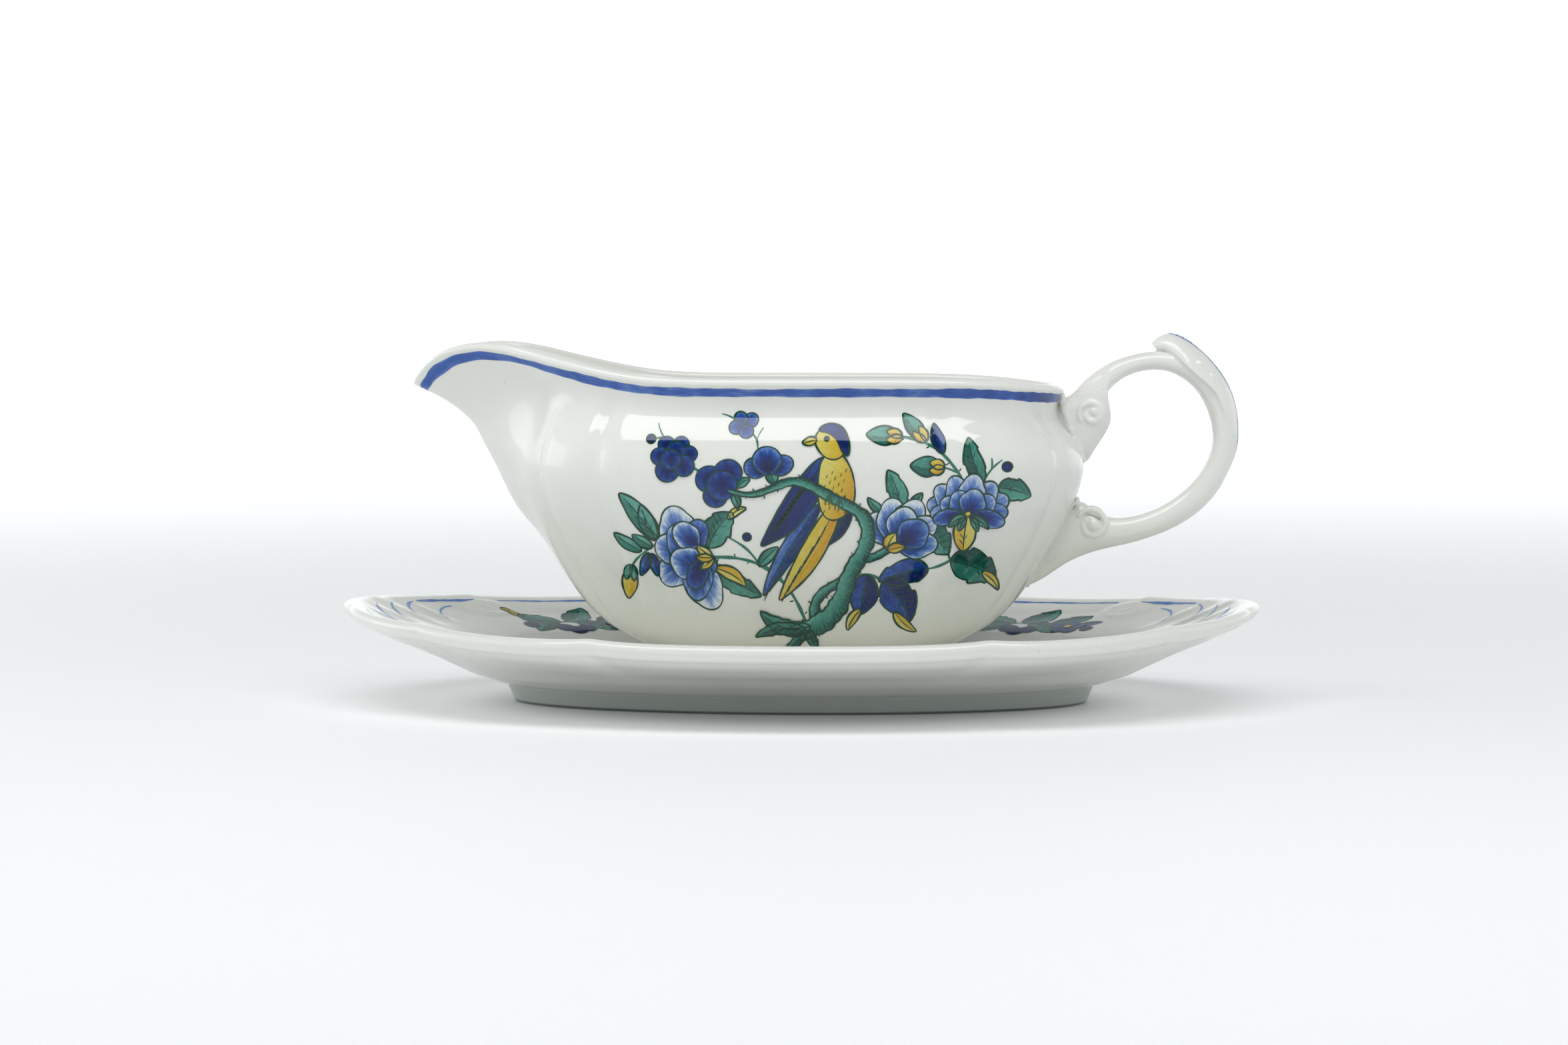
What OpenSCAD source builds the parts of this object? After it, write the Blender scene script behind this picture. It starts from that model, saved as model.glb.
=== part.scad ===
// Gravy boat with an oval saucer: the boat lifts off the saucer.
// Millimetres, +Z up. The origin is the centre of the saucer's foot, on the table.
// The spout points to -X and the handle to +X.

/* [Saucer] */
// Length over the rim
saucer_l = 230; // [215:1:245]
// Width over the rim
saucer_w = 152; // [146:1:160]
// Extra height of the rim at the two ends
end_lift = 4.5; // [2:0.5:6]
// Depth of the notches in the rim
notch_depth = 1.3; // [0:0.1:2]
// Height of the moulded leaves on the two ends of the rim
leaf_relief = 0.6; // [0:0.1:0.9]

/* [Boat] */
// Length of the bowl, without spout and handle
bowl_l = 141.4; // [136:0.2:146]
// Width of the bowl
bowl_w = 85.2; // [80:0.2:90]
// How far the spout reaches past the bowl's rim
spout_reach = 31; // [26:0.5:34]
// Squareness of the bowl's plan: 0 is an ellipse
squareness = 0.03; // [0:0.01:0.05]
// Depth of the flutes in the bowl's wall
flute_depth = 0.8; // [0:0.1:1.2]

/* [Handle] */
// Width of the handle's strap across its middle
strap_w = 9; // [7.5:0.5:11]

/* [Hidden] */

glaze = "whitesmoke";
around = 96;          // points around the saucer
bowl_around = 84;     // points around the bowl
floor_z = 8.5;        // top of the saucer's well, where the boat stands
rim_r = 1.5;          // radius of the boat's rounded rim
rim_h = 73.5;         // height of the boat's rim above its own foot

// ---------------------------------------------------------------- curves
// A smooth curve that passes almost exactly through the points of a list.
function controls(p) = [for (i = [0:len(p) - 1])
    i == 0 || i == len(p) - 1 ? p[i] : p[i] - (p[i - 1] - 2 * p[i] + p[i + 1]) / 6];
function on_spline(c, u) =
    let (n = len(c) - 1,
         i = max(0, min(floor(u), n - 1)),
         f = u - i,
         before = i == 0 ? 2 * c[0] - c[1] : c[i - 1],
         after = i == n - 1 ? 2 * c[n] - c[n - 1] : c[i + 2])
    (before * pow(1 - f, 3) + c[i] * (3 * pow(f, 3) - 6 * f * f + 4)
     + c[i + 1] * (-3 * pow(f, 3) + 3 * f * f + 3 * f + 1) + after * pow(f, 3)) / 6;
// Samples of a spline from index a to index b in n steps, with both ends.
function samples(p, a, b, n) =
    let (c = controls(p)) [for (k = [0:n]) on_spline(c, a + (b - a) * k / n)];
function ease(t) = let (c = max(0, min(1, t))) c * c * (3 - 2 * c);
function bump(x, width) = exp(-pow(x / width, 2));

// ---------------------------------------------------------------- skins
// A closed skin over rings of points; the first and last ring are closed by a fan.
module skin(rings) {
    n = len(rings[0]);
    m = len(rings);
    middle = function (r) [for (k = [0:2]) ([for (p = r) p[k]] * [for (p = r) 1]) / n];
    points = concat([for (r = rings) each r], [middle(rings[0]), middle(rings[m - 1])]);
    sides = [for (j = [0:m - 2], i = [0:n - 1])
        let (a = j * n + i, b = j * n + (i + 1) % n)
        each [[a, a + n, b + n], [a, b + n, b]]];
    first = [for (i = [0:n - 1]) [i, (i + 1) % n, m * n]];
    last = [for (i = [0:n - 1]) [(m - 1) * n + (i + 1) % n, (m - 1) * n + i, m * n + 1]];
    polyhedron(points = points, faces = concat(sides, first, last));
}

// ---------------------------------------------------------------- saucer
// Rows of [inset from the rim, height]. The plan is an ellipse inset by that much.
saucer_foot = [[49, 4.4], [47.8, 3.9], [46.8, 0.7], [46, 0], [43.6, 0], [43, 0.5], [42.4, 1.6]];
saucer_under = [[41.2, 4.4], [39.6, 5.1], [36, 6.2], [32, 7.9], [28, 9.6], [23.5, 11],
                [18, 12.2], [13, 13.3], [8, 14.9], [3.6, 16.8]];
saucer_edge = [[1.6, 17.3], [0.4, 18.3], [0, 19.6], [0.7, 20.7], [2.1, 21.1]];
saucer_top = [[4, 20.5], [7.5, 18.8], [12, 17.1], [17, 15.9], [23, 14.7], [28.5, 13.1],
              [33, 11.2], [37.5, 9.4], [41.5, 8.6], [45, 8.5]];
notch_angles = [11.5, 36.9, 65.3];
notch_width = 4.5;    // degrees
leaf_angles = [0, 7.5, 15, 22.5];   // of the moulded leaves' ribs, from each end
leaf_width = 2.4;     // degrees
leaf_inset = 11;      // from the rim to the middle of the leaves
rim_reach = 32;       // how far in from the rim the end lift and the notches fade out

function fold(th) = let (t = (th + 360) % 180) min(t, 180 - t);
function notch(th) = max([for (a = notch_angles) exp(-abs(fold(th) - a) / notch_width)]);
function saucer_point(row, th) =
    let (near_rim = max(0, 1 - row[0] / rim_reach),
         inset = row[0] + notch_depth * notch(th) * near_rim * near_rim)
    [(saucer_l / 2 - inset) * cos(th),
     (saucer_w / 2 - inset) * sin(th),
     row[1] + end_lift * near_rim * pow(cos(th), 4) + (row[2] == 1 ? end_leaf(row[0], th) : 0)];
// The leaves on the rim's upper side, as a fan of ribs.
function end_leaf(inset, th) = leaf_relief * bump(inset - leaf_inset, 5)
    * max([for (a = leaf_angles) bump(fold(th) - a, leaf_width)]);
function ring(th_point, n) = [for (i = [0:n - 1]) th_point(360 * i / n)];

module saucer() {
    rows = concat(saucer_foot, samples(saucer_under, 0, 9, 12), saucer_edge,
                  [for (row = samples(saucer_top, 0, 9, 13)) [row[0], row[1], 1]]);
    color(glaze)
        skin([for (row = rows) ring(function (th) saucer_point(row, th), around)]);
}

// ---------------------------------------------------------------- boat
// Rows of [height above the foot, half length, half width, share of the spout's reach,
// half width of the spout in degrees].
bowl_outside = [
    [2.2, 31, 19.2, 0, 9], [4.2, 34.6, 22.6, 0, 9], [7.1, 40.5, 27.2, 0, 9],
    [10.2, 46, 30.8, 0, 9], [13.6, 50.6, 33.6, 0, 9], [18.5, 55.2, 36.4, 0, 9],
    [25, 59.5, 39, 0, 9], [32, 63.8, 40.8, 0, 9], [38.5, 67, 41.9, 0.09, 9],
    [44.5, 69.7, 42.5, 0.12, 10], [50, 71, 42.6, 0.16, 11], [54.5, 70.8, 42.3, 0.245, 13],
    [58.5, 68.9, 41, 0.37, 15], [61.7, 66.6, 38.8, 0.5, 17], [64.5, 64.9, 36.9, 0.64, 19],
    [67.4, 64.5, 36.3, 0.77, 21], [69.9, 65.2, 37, 0.89, 23], [72, 66.2, 38.1, 1, 24]];
bowl_inside = [
    [4.6, 29, 16.5, 0, 9], [5.6, 34, 20.5, 0, 9], [8, 38.6, 24.6, 0, 9],
    [11.2, 43, 28, 0, 9], [15, 47.6, 30.9, 0, 9], [20, 52, 33.6, 0, 9],
    [26, 56, 35.8, 0, 9], [32.5, 59.9, 37.4, 0, 8], [38.5, 63.2, 38.4, 0.09, 8],
    [44.5, 65.8, 38.9, 0.125, 8], [50, 67.1, 39, 0.17, 9], [54.5, 66.9, 38.6, 0.25, 10.5],
    [58.5, 65.3, 37.3, 0.37, 12.5], [61.7, 63.1, 35.2, 0.5, 14.5], [64.5, 61.5, 33.5, 0.64, 16.5],
    [67.4, 61.2, 33, 0.77, 18.5], [69.9, 62, 33.9, 0.89, 20.5], [72, 63.2, 35.1, 1, 21.5]];
// Rise of the rim every 10 degrees from the spout's tip, with one row before the tip.
lip_rise = controls([6, -1.8, 6, 8.7, 6.2, 3.9, 2, 0.6, 0.1, 0, 0, 0, 0, -0.1, -0.4,
                     -0.9, -1.5, -1.9, -2.1, -2.2]);
lip_starts = 50;      // height above the foot where the rim's rise begins
// Rows of [angle from the handle, half width in degrees, share of the depth]; the last one
// is the valley between the bowl and the spout.
flutes = [[27, 3.5, 1], [61, 4, 1], [130, 4, 1], [152.5, 4.5, 1.6]];
foot_rows = [[0.6, 27, 15.2], [0, 27.6, 15.8], [0, 30.2, 18.4], [0.5, 30.6, 18.8]];

function flute(th, z) = flute_depth * ease((z - 8) / 20) * ease((70 - z) / 12)
    * max([for (f = flutes) f[2] * bump(min(th, 360 - th) - f[0], f[1])]);
// A point of the bowl's wall: row as in the tables, th the angle from the handle.
function bowl_point(row, th) =
    let (from_tip = abs(180 - th),
         cut = flute(th, row[0]),
         long = row[1] * bowl_l / 141.4 - cut,
         wide = row[2] * bowl_w / 85.2 - cut,
         s = squareness)
    [long * ((1 + s) * cos(th) - s * cos(3 * th)) - spout_reach * row[3] * bump(from_tip, row[4]),
     wide * ((1 + s) * sin(th) + s * sin(3 * th)),
     floor_z + row[0] + ease((row[0] - lip_starts) / (rim_h - lip_starts))
        * on_spline(lip_rise, from_tip / 10 + 1)];
function bowl_ring(row) = ring(function (th) bowl_point(row, th), bowl_around);

// The rounded rim, from the outside over the top to the inside.
function rim_rows() =
    let (out = bowl_outside[17], inn = bowl_inside[17])
    [for (a = [25:32.5:155]) let (share = (1 - cos(a)) / 2)
        let (row = out + (inn - out) * share) [out[0] + rim_r * sin(a), row[1], row[2], row[3], row[4]]];
function foot_ring_rows() = [for (r = foot_rows) [r[0], r[1], r[2], 0, 9]];

module boat_body() {
    under = [[1.6, 25.4, 13.6, 0, 9]];
    rows = concat(under, foot_ring_rows(), samples(bowl_outside, 0, 17, 22), rim_rows(),
                  samples(bowl_inside, 17, 0, 19));
    color(glaze) skin([for (i = [0:len(rows) - 1]) bowl_ring(rows[i])]);
}

// ---------------------------------------------------------------- handle
// Rows along the strap: outer edge [x, z], inner edge [x, z], share of the half width.
// The first and last row lie inside the bowl's wall, where the handle is luted on.
strap_rows = [
    [63, 75.6, 68.6, 61.6, 0.85], [67.6, 77.4, 71.8, 60.6, 0.92], [70.2, 80.2, 75, 63.8, 0.98],
    [72.6, 82.4, 77.3, 68, 1.02], [75, 84.1, 78, 72.6, 1.03], [77.6, 85.7, 76.7, 76.6, 1.02],
    [80.2, 86.8, 78.2, 79.6, 1], [84, 87.9, 82.8, 82.8, 1], [89, 88.6, 88.6, 83.9, 1.02],
    [94, 88.1, 92.6, 83.3, 1.06], [98.7, 86, 95.8, 81.7, 1.1], [103, 82.2, 99, 79, 1.08],
    [106.6, 76.4, 101.6, 74.7, 1], [108.2, 69.6, 103.2, 69.2, 0.92], [108.3, 63.2, 102.9, 63.7, 0.86],
    [106.2, 56, 100.6, 58.6, 0.84], [101.4, 49.6, 97, 54.3, 0.84], [95, 44.9, 91.9, 50.4, 0.85],
    [88, 41.9, 86.6, 48, 0.88], [81.6, 40, 82, 46.9, 0.92], [76.4, 38.9, 77.9, 46.9, 0.96],
    [71.6, 37.4, 74.2, 48.3, 1], [66.6, 35.1, 71.6, 50.4, 1], [61.6, 31.6, 69.4, 50.8, 0.95],
    [55.8, 28.7, 66.9, 50.4, 0.85]];
strap_sides = 16;
strap_steps = 52;

function rounded(v) = sign(v) * pow(abs(v), 0.85);

module strap() {
    c = controls(strap_rows);
    last = len(strap_rows) - 1;
    skin([for (k = [0:strap_steps])
        let (p = on_spline(c, last * k / strap_steps),
             mid = [p[0] + p[2], p[1] + p[3]] / 2,
             half = [p[0] - p[2], p[1] - p[3]] / 2)
        [for (i = [0:strap_sides - 1])
            let (a = -360 * i / strap_sides, out = rounded(cos(a)))
            [mid[0] + half[0] * out, p[4] * strap_w / 2 * rounded(sin(a)),
             mid[1] + half[1] * out]]]);
}

// The scroll's eye, raised on one side of a root.
module volute(side, x, z, r) {
    hull() for (dx = [-0.6, 0.6])
        translate([x + dx, side * (strap_w / 2 - 0.9), z]) scale([1, 1.5 / r, 1])
            sphere(r = r, $fn = 18);
}

// The moulded leaf under the thumb: its tip curls up, its tail runs down the back.
// Rows of [x, z, half thickness, half width, slope of the leaf].
leaf_rows = [[88.6, 89.7, 0.9, 1.8, 42], [90.6, 90.4, 1.7, 3, 14], [93.2, 90.4, 2.2, 4.3, -18],
             [96.7, 88.2, 2.3, 5.7, -38], [100.4, 85.4, 2, 6.1, -42], [104.2, 81.4, 1.7, 5.8, -55],
             [107, 75.9, 1.5, 4.9, -70], [108.1, 69.3, 1.4, 3.7, -86],
             [107.9, 63.2, 1.1, 2.6, -98], [105.9, 57.2, 0.6, 1.6, -112]];
module leaf_rib(p) {
    translate([p[0], 0, p[1]]) rotate([0, -p[4], 0]) scale([p[2] * 1.2, p[3], p[2]])
        sphere(r = 1, $fn = 18);
}
module leaf() {
    for (i = [0:len(leaf_rows) - 2]) hull() {
        leaf_rib(leaf_rows[i]);
        leaf_rib(leaf_rows[i + 1]);
    }
}

module handle() {
    color(glaze) union() {
        strap();
        leaf();
        for (side = [-1, 1]) {
            volute(side, 73.4, 73, 2.6);
            volute(side, 73, 45.4, 3.2);
        }
    }
}

saucer();
boat_body();
handle();
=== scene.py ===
"""Gravy boat on its oval saucer: high-resolution glazed porcelain with painted decoration."""
import math

import bpy
import numpy as np
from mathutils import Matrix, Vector
from mathutils.bvhtree import BVHTree
from mathutils.geometry import delaunay_2d_cdt
from mathutils.interpolate import poly_3d_calc


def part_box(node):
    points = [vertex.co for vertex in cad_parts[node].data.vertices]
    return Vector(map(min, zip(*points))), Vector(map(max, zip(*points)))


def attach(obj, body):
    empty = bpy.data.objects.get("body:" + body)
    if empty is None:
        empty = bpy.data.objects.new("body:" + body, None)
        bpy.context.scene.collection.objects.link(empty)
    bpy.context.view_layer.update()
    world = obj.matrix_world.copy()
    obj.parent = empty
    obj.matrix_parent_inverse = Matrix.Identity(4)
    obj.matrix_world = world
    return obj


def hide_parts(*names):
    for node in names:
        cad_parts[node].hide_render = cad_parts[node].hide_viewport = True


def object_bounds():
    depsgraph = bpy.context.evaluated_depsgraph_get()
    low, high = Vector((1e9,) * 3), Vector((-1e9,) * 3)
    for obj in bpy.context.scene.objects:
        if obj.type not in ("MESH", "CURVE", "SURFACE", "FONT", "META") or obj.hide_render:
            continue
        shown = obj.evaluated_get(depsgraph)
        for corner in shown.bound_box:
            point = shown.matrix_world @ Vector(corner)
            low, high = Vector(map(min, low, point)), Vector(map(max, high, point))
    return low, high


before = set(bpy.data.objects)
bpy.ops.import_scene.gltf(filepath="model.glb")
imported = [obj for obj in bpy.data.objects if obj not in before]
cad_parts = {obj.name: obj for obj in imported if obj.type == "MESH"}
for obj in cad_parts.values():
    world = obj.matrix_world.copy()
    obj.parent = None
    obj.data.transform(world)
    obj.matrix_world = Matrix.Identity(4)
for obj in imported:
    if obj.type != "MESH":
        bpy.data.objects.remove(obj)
cad_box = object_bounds()
MM = 0.001

# ------------------------------------------------------------------ curves


def controls(points):
    """Control points of a spline that passes almost exactly through the points."""
    p = np.array(points, float)
    c = p.copy()
    c[1:-1] -= (p[:-2] - 2 * p[1:-1] + p[2:]) / 6
    return c


def on_spline(c, u):
    """The spline at the parameters u, one row each."""
    n = len(c) - 1
    u = np.atleast_1d(np.asarray(u, float))
    i = np.clip(np.floor(u).astype(int), 0, n - 1)
    f = u - i
    padded = np.concatenate([[2 * c[0] - c[1]], c, [2 * c[n] - c[n - 1]]])
    a, b, d, e = (padded[i + k] for k in range(4))
    if c.ndim > 1:
        f = f[:, None]
    return (a * (1 - f) ** 3 + b * (3 * f**3 - 6 * f * f + 4)
            + d * (-3 * f**3 + 3 * f * f + 3 * f + 1) + e * f**3) / 6


def samples(points, steps, back=False):
    """The spline through the points, cut into steps, from its start or from its end back."""
    last = len(points) - 1
    return on_spline(controls(points), np.linspace(last if back else 0, 0 if back else last, steps + 1))


def ease(t):
    c = np.clip(t, 0, 1)
    return c * c * (3 - 2 * c)


def bump(x, width):
    return np.exp(-((x / width) ** 2))


# ------------------------------------------------------------------ saucer, in mm, as in the CAD
SAUCER_L, SAUCER_W, END_LIFT, NOTCH_DEPTH = 230, 152, 4.5, 1.3
FLOOR_Z = 8.5
# Profiles: (inset from the rim, height).
SAUCER_FOOT = [(49, 4.4), (47.8, 3.9), (46.8, 0.7), (46, 0), (43.6, 0), (43, 0.5), (42.4, 1.6)]
SAUCER_UNDER = [(41.2, 4.4), (39.6, 4.9), (36, 6.0), (32, 7.4), (28, 8.8), (23.5, 10.3),
                (18, 11.9), (13, 13.4), (8, 14.9), (3.6, 16.7)]
SAUCER_EDGE = [(1.6, 17.3), (0.4, 18.3), (0, 19.6), (0.7, 20.7), (2.1, 21.1)]
SAUCER_TOP = [(4, 20.5), (7.5, 18.8), (12, 17.1), (17, 15.9), (23, 14.7), (28.5, 13.1),
              (33, 11.2), (37.5, 9.4), (41.5, 8.6), (45, 8.5)]
NOTCH_ANGLES, NOTCH_WIDTH, RIM_REACH = (11.5, 36.9, 65.3), 4.5, 32
# The rim rises at each notch and dips between: only in the visual model.
SCALLOP, SCALLOP_DIP = 1.0, 0.4


def fold(th):
    t = np.mod(th, 180)
    return np.minimum(t, 180 - t)


def saucer_point(inset, z, th, raised=0.0):
    """A point of the saucer at an inset from the rim, in mm."""
    notch = np.max([np.exp(-np.sqrt((fold(th) - a) ** 2 + 0.3) / NOTCH_WIDTH)
                    for a in NOTCH_ANGLES], axis=0)
    near_rim = np.maximum(0, 1 - inset / RIM_REACH)
    depth = inset + NOTCH_DEPTH * notch * near_rim**2
    c, s = np.cos(np.radians(th)), np.sin(np.radians(th))
    lift = END_LIFT * near_rim * c**4
    scallop = near_rim**2 * (1 - c**4) * SCALLOP * (notch - SCALLOP_DIP)
    return np.stack([(SAUCER_L / 2 - depth) * c, (SAUCER_W / 2 - depth) * s,
                     z + lift + scallop + raised], axis=-1)


def end_relief(inset, th):
    """Height of the moulded leaves and scrolls on the rim's upper side."""
    a = fold(th)
    ribs = np.max([bump(a - m - 0.25 * (inset - 11), 1.5) for m in (0, 7.5, 15, 22.5)], axis=0)
    leaf = 0.6 * bump(inset - 11, 4.5) * ribs * ease((27 - a) / 5)
    side = np.hypot((a - 38) / 3.2, (inset - 9) / 3.2)
    scroll = 0.45 * bump(side - 1, 0.35) + 0.35 * bump(side, 0.4)
    return leaf + scroll * ease((inset - 3) / 3)


# ------------------------------------------------------------------ boat, in mm, as in the CAD
# Rows: height, half length, half width, share of the spout, the spout's half angle.
BOWL_OUT = [
    (2.2, 31, 19.2, 0, 9), (4.2, 34.6, 22.6, 0, 9), (7.1, 40.5, 27.2, 0, 9),
    (10.2, 46, 30.8, 0, 9), (13.6, 50.6, 33.6, 0, 9), (18.5, 55.2, 36.4, 0, 9),
    (25, 59.5, 39, 0, 9), (32, 63.8, 40.8, 0, 9), (38.5, 67, 41.9, 0.09, 9),
    (44.5, 69.7, 42.5, 0.12, 10), (50, 71, 42.6, 0.16, 11), (54.5, 70.8, 42.3, 0.245, 13),
    (58.5, 68.9, 41, 0.37, 15), (61.7, 66.6, 38.8, 0.5, 17), (64.5, 64.9, 36.9, 0.64, 19),
    (67.4, 64.5, 36.3, 0.77, 21), (69.9, 65.2, 37, 0.89, 23), (72, 66.2, 38.1, 1, 24)]
BOWL_IN = [
    (4.6, 29, 16.5, 0, 9), (5.6, 34, 20.5, 0, 9), (8, 38.6, 24.6, 0, 9),
    (11.2, 43, 28, 0, 9), (15, 47.6, 30.9, 0, 9), (20, 52, 33.6, 0, 9),
    (26, 56, 35.8, 0, 9), (32.5, 59.9, 37.4, 0, 8), (38.5, 63.2, 38.4, 0.09, 8),
    (44.5, 65.8, 38.9, 0.125, 8), (50, 67.1, 39, 0.17, 9), (54.5, 66.9, 38.6, 0.25, 10.5),
    (58.5, 65.3, 37.3, 0.37, 12.5), (61.7, 63.1, 35.2, 0.5, 14.5), (64.5, 61.5, 33.5, 0.64, 16.5),
    (67.4, 61.2, 33, 0.77, 18.5), (69.9, 62, 33.9, 0.89, 20.5), (72, 63.2, 35.1, 1, 21.5)]
BOAT_FOOT = [(1.6, 25.4, 13.6), (0.6, 27, 15.2), (0, 27.6, 15.8), (0, 30.2, 18.4), (0.5, 30.6, 18.8)]
SPOUT_REACH, SQUARENESS, RIM_R, RIM_H, LIP_STARTS = 31, 0.03, 1.5, 73.5, 50
# The rim's rise every 10 degrees, from 10 degrees before the spout's tip.
LIP_RISE = controls([6, -1.8, 6, 8.7, 6.2, 3.9, 2, 0.6, 0.1, 0, 0, 0, 0, -0.1, -0.4,
                     -0.9, -1.5, -1.9, -2.1, -2.2])
# Angle from the handle, width and depth.
FLUTES = ((27, 3.0, 0.9), (61, 2.8, 0.8), (130, 3.0, 0.9), (152.5, 4.0, 1.5))


def bowl_point(rows, th):
    """Points of the bowl's wall, in mm: rows as in the tables, th the angle from the handle."""
    z, long, wide, share, width = (rows[..., k] for k in range(5))
    th = np.mod(th, 360)
    from_tip = np.abs(180 - th)
    fluting = np.max([d * bump(np.minimum(th, 360 - th) - a, w) for a, w, d in FLUTES], axis=0)
    cut = ease((z - 8) / 20) * ease((70 - z) / 12) * fluting
    r = np.radians(th)
    s = SQUARENESS
    rise = on_spline(LIP_RISE, from_tip.ravel() / 10 + 1).reshape(from_tip.shape)
    return np.stack([
        (long - cut) * ((1 + s) * np.cos(r) - s * np.cos(3 * r))
        - SPOUT_REACH * share * bump(from_tip, width),
        (wide - cut) * ((1 + s) * np.sin(r) + s * np.sin(3 * r)),
        FLOOR_Z + z + ease((z - LIP_STARTS) / (RIM_H - LIP_STARTS)) * rise], axis=-1)


# ------------------------------------------------------------------ handle, in mm, as in the CAD
# Rows: outer x, outer z, inner x, inner z, share of the width.
STRAP = [
    (63, 75.6, 68.6, 61.6, 0.85), (67.6, 77.4, 71.8, 60.6, 0.92), (70.2, 80.2, 73.8, 63.9, 0.98),
    (72.6, 82.4, 76.6, 68, 1.02), (75, 84.1, 78.2, 72.4, 1.03), (77.6, 85.7, 76.7, 76.6, 1.02),
    (80.2, 86.8, 78.2, 79.6, 1), (84, 87.9, 82.8, 82.8, 1), (89, 88.6, 88.6, 83.9, 1.02),
    (94, 88.1, 92.6, 83.3, 1.06), (98.7, 86, 95.8, 81.7, 1.1), (103, 82.2, 99, 79, 1.08),
    (106.6, 76.4, 101.6, 74.7, 1), (108.2, 69.6, 103.2, 69.2, 0.92), (108.3, 63.2, 102.9, 63.7, 0.86),
    (106.2, 56, 100.6, 58.6, 0.84), (101.4, 49.6, 97, 54.3, 0.84), (95, 44.9, 91.9, 50.4, 0.85),
    (88, 41.9, 86.6, 48, 0.88), (81.6, 40, 82, 46.9, 0.92), (76.4, 38.9, 77.9, 46.9, 0.96),
    (71.6, 37.4, 74.2, 48.3, 1), (66.6, 35.1, 71.6, 50.4, 1), (61.6, 31.6, 69.4, 50.8, 0.95),
    (55.8, 28.7, 66.9, 50.4, 0.85)]
STRAP_W = 9
# Rows: x, z, half thickness, half width, slope in degrees.
LEAF = [(88.6, 89.7, 0.9, 1.8, 42), (90.6, 90.4, 1.7, 3, 14), (93.2, 90.4, 2.2, 4.3, -18),
        (96.7, 88.2, 2.3, 5.7, -38), (100.4, 85.4, 2, 6.1, -42), (104.2, 81.4, 1.7, 5.8, -55),
        (107, 75.9, 1.5, 4.9, -70), (108.1, 69.3, 1.4, 3.7, -86), (107.9, 63.2, 1.1, 2.6, -98),
        (105.9, 57.2, 0.6, 1.6, -112)]
LEAF_HALF_W, LEAF_DROOP = 6.2, 2.6
LEAF_ROWS = np.array(LEAF)
LEAF_ROWS[:, 4] = np.unwrap(np.radians(LEAF_ROWS[:, 4]))


def rounded(v):
    return np.sign(v) * np.abs(v) ** 0.85


def strap_rings(steps, sides):
    p = samples(STRAP, steps - 1)
    a = -2 * np.pi * np.arange(sides) / sides
    mid, half = (p[:, :2] + p[:, 2:4]) / 2, (p[:, :2] - p[:, 2:4]) / 2
    out, across = rounded(np.cos(a)), rounded(np.sin(a))
    xz = mid[:, None, :] + half[:, None, :] * out[None, :, None]
    y = p[:, 4, None] * STRAP_W / 2 * across[None, :]
    return np.stack([xz[..., 0], y, xz[..., 1]], axis=-1)


def leaf_rings(steps, sides):
    """The thumb leaf: crowned across, with a lightly lobed edge and a middle rib."""
    p = samples(LEAF_ROWS, steps - 1)
    s = np.linspace(0, 1, steps)[:, None]
    a = 2 * np.pi * np.arange(sides)[None, :] / sides
    lobes = 1 + 0.1 * np.abs(np.sin(3.2 * np.pi * s)) * np.sin(np.pi * s)
    y = p[:, 3, None] * lobes * rounded(np.cos(a)) * 0.98
    share = np.abs(y) / LEAF_HALF_W
    t = p[:, 2, None] * (np.sin(a) * (1 - 0.25 * share) + 0.25 * bump(y, 0.8) * (np.sin(a) > 0))
    droop = -LEAF_DROOP * share**2
    slope = p[:, 4, None]
    x = p[:, 0, None] - np.sin(slope) * (t + droop)
    z = p[:, 1, None] + np.cos(slope) * (t + droop)
    return np.stack([x, y, z], axis=-1)


# ------------------------------------------------------------------ meshes


def new_object(name, mesh):
    obj = bpy.data.objects.new(name, mesh)
    bpy.context.scene.collection.objects.link(obj)
    return obj


def mesh_from(name, verts, faces):
    mesh = bpy.data.meshes.new(name)
    mesh.from_pydata(np.asarray(verts).tolist(), [], faces)
    mesh.validate()
    mesh.polygons.foreach_set("use_smooth", [True] * len(mesh.polygons))
    mesh.update()
    return mesh


def skin_data(rings):
    """Vertices and faces of a closed skin over rings of points (rows, around, 3)."""
    m, n = rings.shape[:2]
    j, i = np.meshgrid(np.arange(m - 1), np.arange(n), indexing="ij")
    a, b = j * n + i, j * n + (i + 1) % n
    faces = np.stack([a, a + n, b + n, b], axis=-1).reshape(-1, 4).tolist()
    ends = [rings[0].mean(axis=0), rings[-1].mean(axis=0)]
    first = [[k, (k + 1) % n, m * n] for k in range(n)]
    base = (m - 1) * n
    last = [[base + (k + 1) % n, base + k, m * n + 1] for k in range(n)]
    return np.concatenate([rings.reshape(-1, 3), ends]), faces + first + last


def fit_to(points, node, headroom=0.0):
    """Brings points in mm to the CAD node's box, in metres, with room for paint on the top."""
    lo, hi = (np.array(c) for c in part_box(node))
    hi[2] -= headroom
    p_lo, p_hi = points.min(axis=0), points.max(axis=0)
    scale = (hi - lo) / (p_hi - p_lo)
    return lambda q: (q - p_lo) * scale + lo


def skin_piece(name, rings, node):
    verts, faces = skin_data(rings)
    place = fit_to(verts, node)
    return new_object(name, mesh_from(name, place(verts), [f[::-1] for f in faces])), place


# How finely each skin is cut: round it, then along each profile.
SAUCER_AROUND, SAUCER_CUTS, TOP_CUTS = 600, (30, 36, 16), 76
BOAT_AROUND, FOOT_CUTS, OUT_CUTS, RIM_CUTS, IN_CUTS = 480, 20, 96, 17, 68


def turn(count):
    return np.linspace(0, 360, count, endpoint=False)[None, :]


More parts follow.
